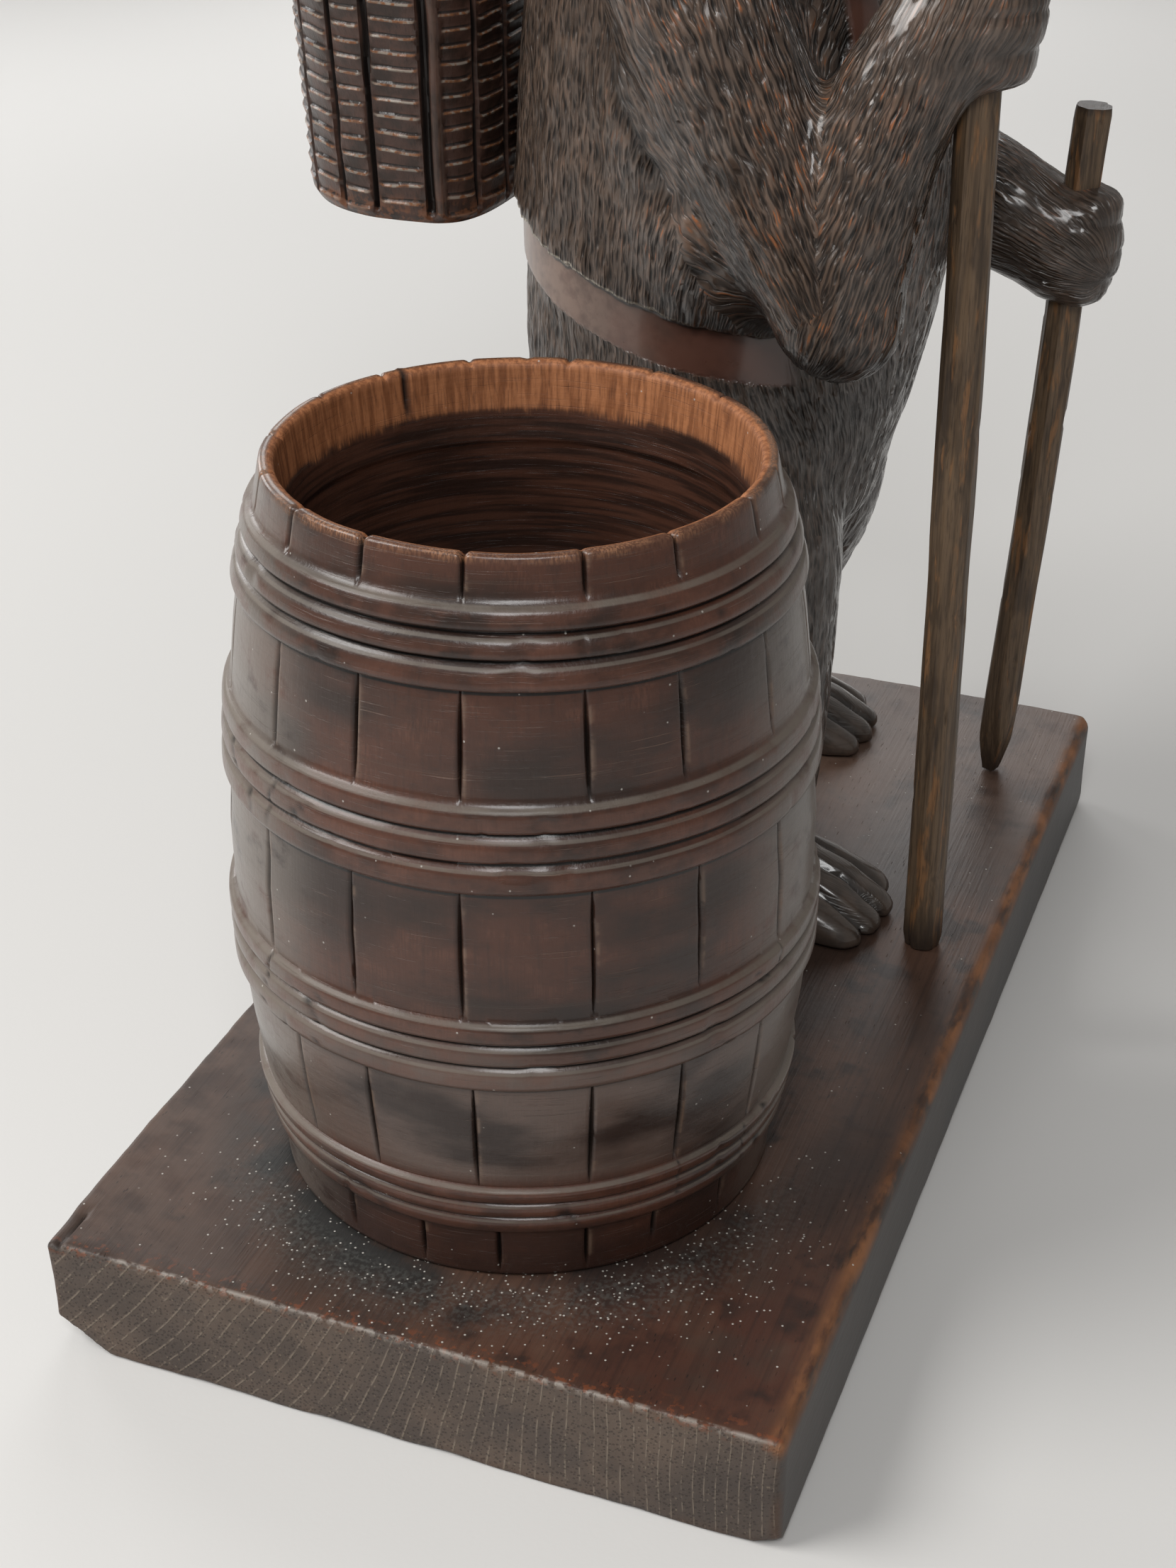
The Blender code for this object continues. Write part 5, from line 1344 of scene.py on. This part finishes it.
def bear_finish():
    """Dark stained coat with orange where its crests are rubbed, painted highlights on its crests and painted shade
    under it, and a smooth red-brown belt with dust and painted sheen.
    """
    f = Finish("bear_coat")
    coat = f.node("ShaderNodeAttribute", out="Vector", attribute_name="coat")
    cut, crest, fur, belt = (f.marked(name) for name in ("cut", "crest", "fur", "belt"))
    crease_and_shade, paw, eye = (f.marked(name) for name in ("crease_and_shade", "paw", "eye"))
    sway = f.node("ShaderNodeCombineXYZ", {0: 2.2 * (f.grain(11.0, detail=2.0) - 0.5)})
    bend = coat.moved(sway)
    tick = f.cells((1.35, 8.5, 1.0), bend, dimensions="2D")
    other = f.cells((1.05, 6.0, 1.0), bend.moved((31.0, 17.0, 0.0)), dimensions="2D")
    long_cut = f.cells((2.0, 17.0, 1.0), bend.moved((5.0, 71.0, 0.0)), dimensions="2D")
    fibre = f.grain((0.42, 7.0, 1.0), bend, detail=2.0)
    patch = f.grain(16.0, detail=4.0)
    fine_patch = f.grain(5.0, detail=4.0)
    forward = f.place.part(0).ramp(-26.0, 4.0) * f.place.part(2).ramp(172.0, 198.0)
    tuft = f.cells((1.35, 15.0, 1.0), bend.moved((13.0, 29.0, 0.0)), "DISTANCE_TO_EDGE", dimensions="2D")
    depth = tick.ramp(0.30, 0.06).most(other.ramp(0.24, 0.05) * 0.7).most(long_cut.ramp(0.22, 0.04) * 0.9)
    depth = depth.most(tuft.ramp(0.075, 0.02) * (0.15 + 0.45 * forward))
    groove = depth * fur
    colour = f.mix(patch.ramp(0.34, 0.66), (0.068, 0.046, 0.034), (0.110, 0.075, 0.055))
    colour = f.mix(fine_patch.ramp(0.60, 0.40) * 0.40, colour, (0.034, 0.025, 0.020))
    # lighter crests, most at the front of the upper trunk: a painted highlight
    colour = f.mix((0.12 + 0.28 * forward) * tuft.ramp(0.10, 0.32), colour, (0.160, 0.108, 0.078))
    # orange shows as short strokes on the rubbed crests, in patches
    stroke = f.cells((0.85, 10.0, 1.0), bend.moved((3.0, 41.0, 0.0)), dimensions="2D")
    zone = patch.ramp(0.42, 0.56) * fine_patch.ramp(0.38, 0.56) * (0.10 + 0.90 * forward)
    rubbed = stroke.ramp(0.25, 0.13) * (1.0 - 0.7 * groove) * zone * fur
    colour = f.mix((rubbed * 0.95).least(1.0), colour, (0.34, 0.110, 0.033))
    colour = f.mix(crest * zone * (1.0 - groove) * 0.30, colour, (0.15, 0.070, 0.038))
    colour = f.mix((groove * 0.80 + cut * 0.34).least(1.0), colour, (0.0075, 0.0055, 0.0045))
    low = f.place.part(2).ramp(190.0, 165.0) * fur
    colour = f.mix(low * 0.45, colour, (0.036, 0.031, 0.028))
    # belt, lighter towards its back with dust and painted sheen, and the pale line of dust at the coat's edge over it
    belt_tone = f.mix(patch.ramp(0.38, 0.62), (0.040, 0.0185, 0.0135), (0.075, 0.033, 0.023))
    # lighter towards the back: dust and a painted sheen from the key light
    belt_dust_and_sheen = f.place.part(0).ramp(4.0, -44.0) * (0.45 + 0.55 * fine_patch.ramp(0.35, 0.60))
    belt_tone = f.mix(belt_dust_and_sheen * 0.85, belt_tone, (0.195, 0.132, 0.102))
    colour = f.mix(belt, colour, belt_tone)
    above = f.marked("above")
    line = above.ramp(-0.75, -0.35) * above.ramp(1.3, 0.7) * f.marked("trunk")
    back = f.place.part(0).ramp(12.0, -40.0, 0.35, 1.0)
    colour = f.mix(line * back * fine_patch.ramp(0.30, 0.48) * 0.9, colour, (0.46, 0.41, 0.33))
    # a painted shadow: a dark band on the belt just under the coat's overhanging edge
    under = above.ramp(-1.5, -0.9) * above.ramp(-0.3, -0.6) * f.marked("trunk")
    colour = f.mix(under * 0.85, colour, (0.008, 0.006, 0.005))
    paw_tone = f.mix(fine_patch.ramp(0.35, 0.65), (0.030, 0.024, 0.020), (0.060, 0.045, 0.036))
    colour = f.mix(paw * 0.7, colour, paw_tone)
    # cuts darkened, with painted shade in the arm channel and under the coat's bulge
    colour = f.mix(crease_and_shade * 0.85, colour, (0.006, 0.005, 0.0045))
    colour = f.mix(eye, colour, (0.004, 0.003, 0.003))
    rough = 0.31 + 0.20 * (fine_patch - 0.5) + 0.14 * groove - 0.16 * eye
    ridge = 0.36 * tick.ramp(0.02, 0.46) + 0.20 * other.ramp(0.02, 0.42) + 0.42 * tuft.ramp(0.0, 0.32)
    ridge = ridge + 0.25 * (1.0 - groove)
    height = ridge * fur + 0.06 * fibre * fur + 0.07 * fine_patch + 0.05 * patch
    polish = (0.35 + 0.35 * f.place.part(0).ramp(-26.0, 10.0)) * (1.0 - 0.6 * groove)
    return f.wear(colour, rough, height, polish, 0.13)


# Floor, light and camera
def make_studio():
    """A plain pale floor, soft light from the upper left and the photograph's camera."""
    clear_choice()
    bpy.ops.mesh.primitive_plane_add(size=8.0, location=(0.0, 0.0, 0.0))
    floor = bpy.context.object
    floor.name = "floor"
    f = Finish("floor_cloth")
    tone = f.grain(900.0, detail=1.0)
    colour = f.mix(tone.ramp(0.3, 0.7), (0.56, 0.555, 0.545), (0.61, 0.605, 0.595))
    floor.data.materials.append(f.wear(colour, 0.9, 0.02 * f.grain(1.2, detail=1.0)))

    def lamp(name, place, aim, size, power, tint=(1.0, 1.0, 1.0)):
        bpy.ops.object.light_add(type="AREA", location=place)
        light = bpy.context.object
        light.name = name
        light.data.shape = "DISK"
        light.data.size = size
        light.data.energy = power
        light.data.color = tint
        way = Vector(aim) - Vector(place)
        light.rotation_euler = way.to_track_quat("-Z", "Y").to_euler()

    lamp("key_light", (-1.00, -0.70, 1.25), (0.0, 0.0, 0.15), 0.9, 22.0, (1.0, 0.985, 0.96))
    lamp("back_light", (-0.45, 1.30, 0.80), (0.0, 0.0, 0.15), 1.1, 8.0)
    lamp("side_light", (-1.30, 0.70, 0.55), (0.0, 0.0, 0.15), 0.6, 4.0)
    lamp("front_light", (0.26, -0.92, 1.08), (0.0, 0.05, 0.20), 0.5, 8.0)

    world = bpy.data.worlds.new("studio")
    bpy.context.scene.world = world
    world.use_nodes = True
    world.node_tree.nodes["Background"].inputs["Color"].default_value = (1.0, 0.965, 0.925, 1.0)
    world.node_tree.nodes["Background"].inputs["Strength"].default_value = 0.26

    bpy.ops.object.camera_add(location=(0.17141, -0.49597, 0.38386))
    camera = bpy.context.object
    camera.name = "camera"
    camera.rotation_euler = (math.radians(90.0 - 30.4), 0.0, math.radians(20.98))
    camera.data.lens = 54.68
    camera.data.sensor_width = 36.0
    camera.data.clip_start = 0.01
    bpy.context.scene.camera = camera
    bpy.context.scene.view_settings.view_transform = "Standard"
    clear_choice()


make_plank()
make_cask()
make_pannier()
make_staff("near_staff", "near_stick", NEAR_PAW, (-0.0143, 0.0, 1.0), 5.0, 36.0, 0.0, 3)
make_staff("far_staff", "far_stick", FAR_PAW, (0.0515, 0.009, 1.0), 4.9, 36.0, 20.0, 8)
make_bear()
make_studio()
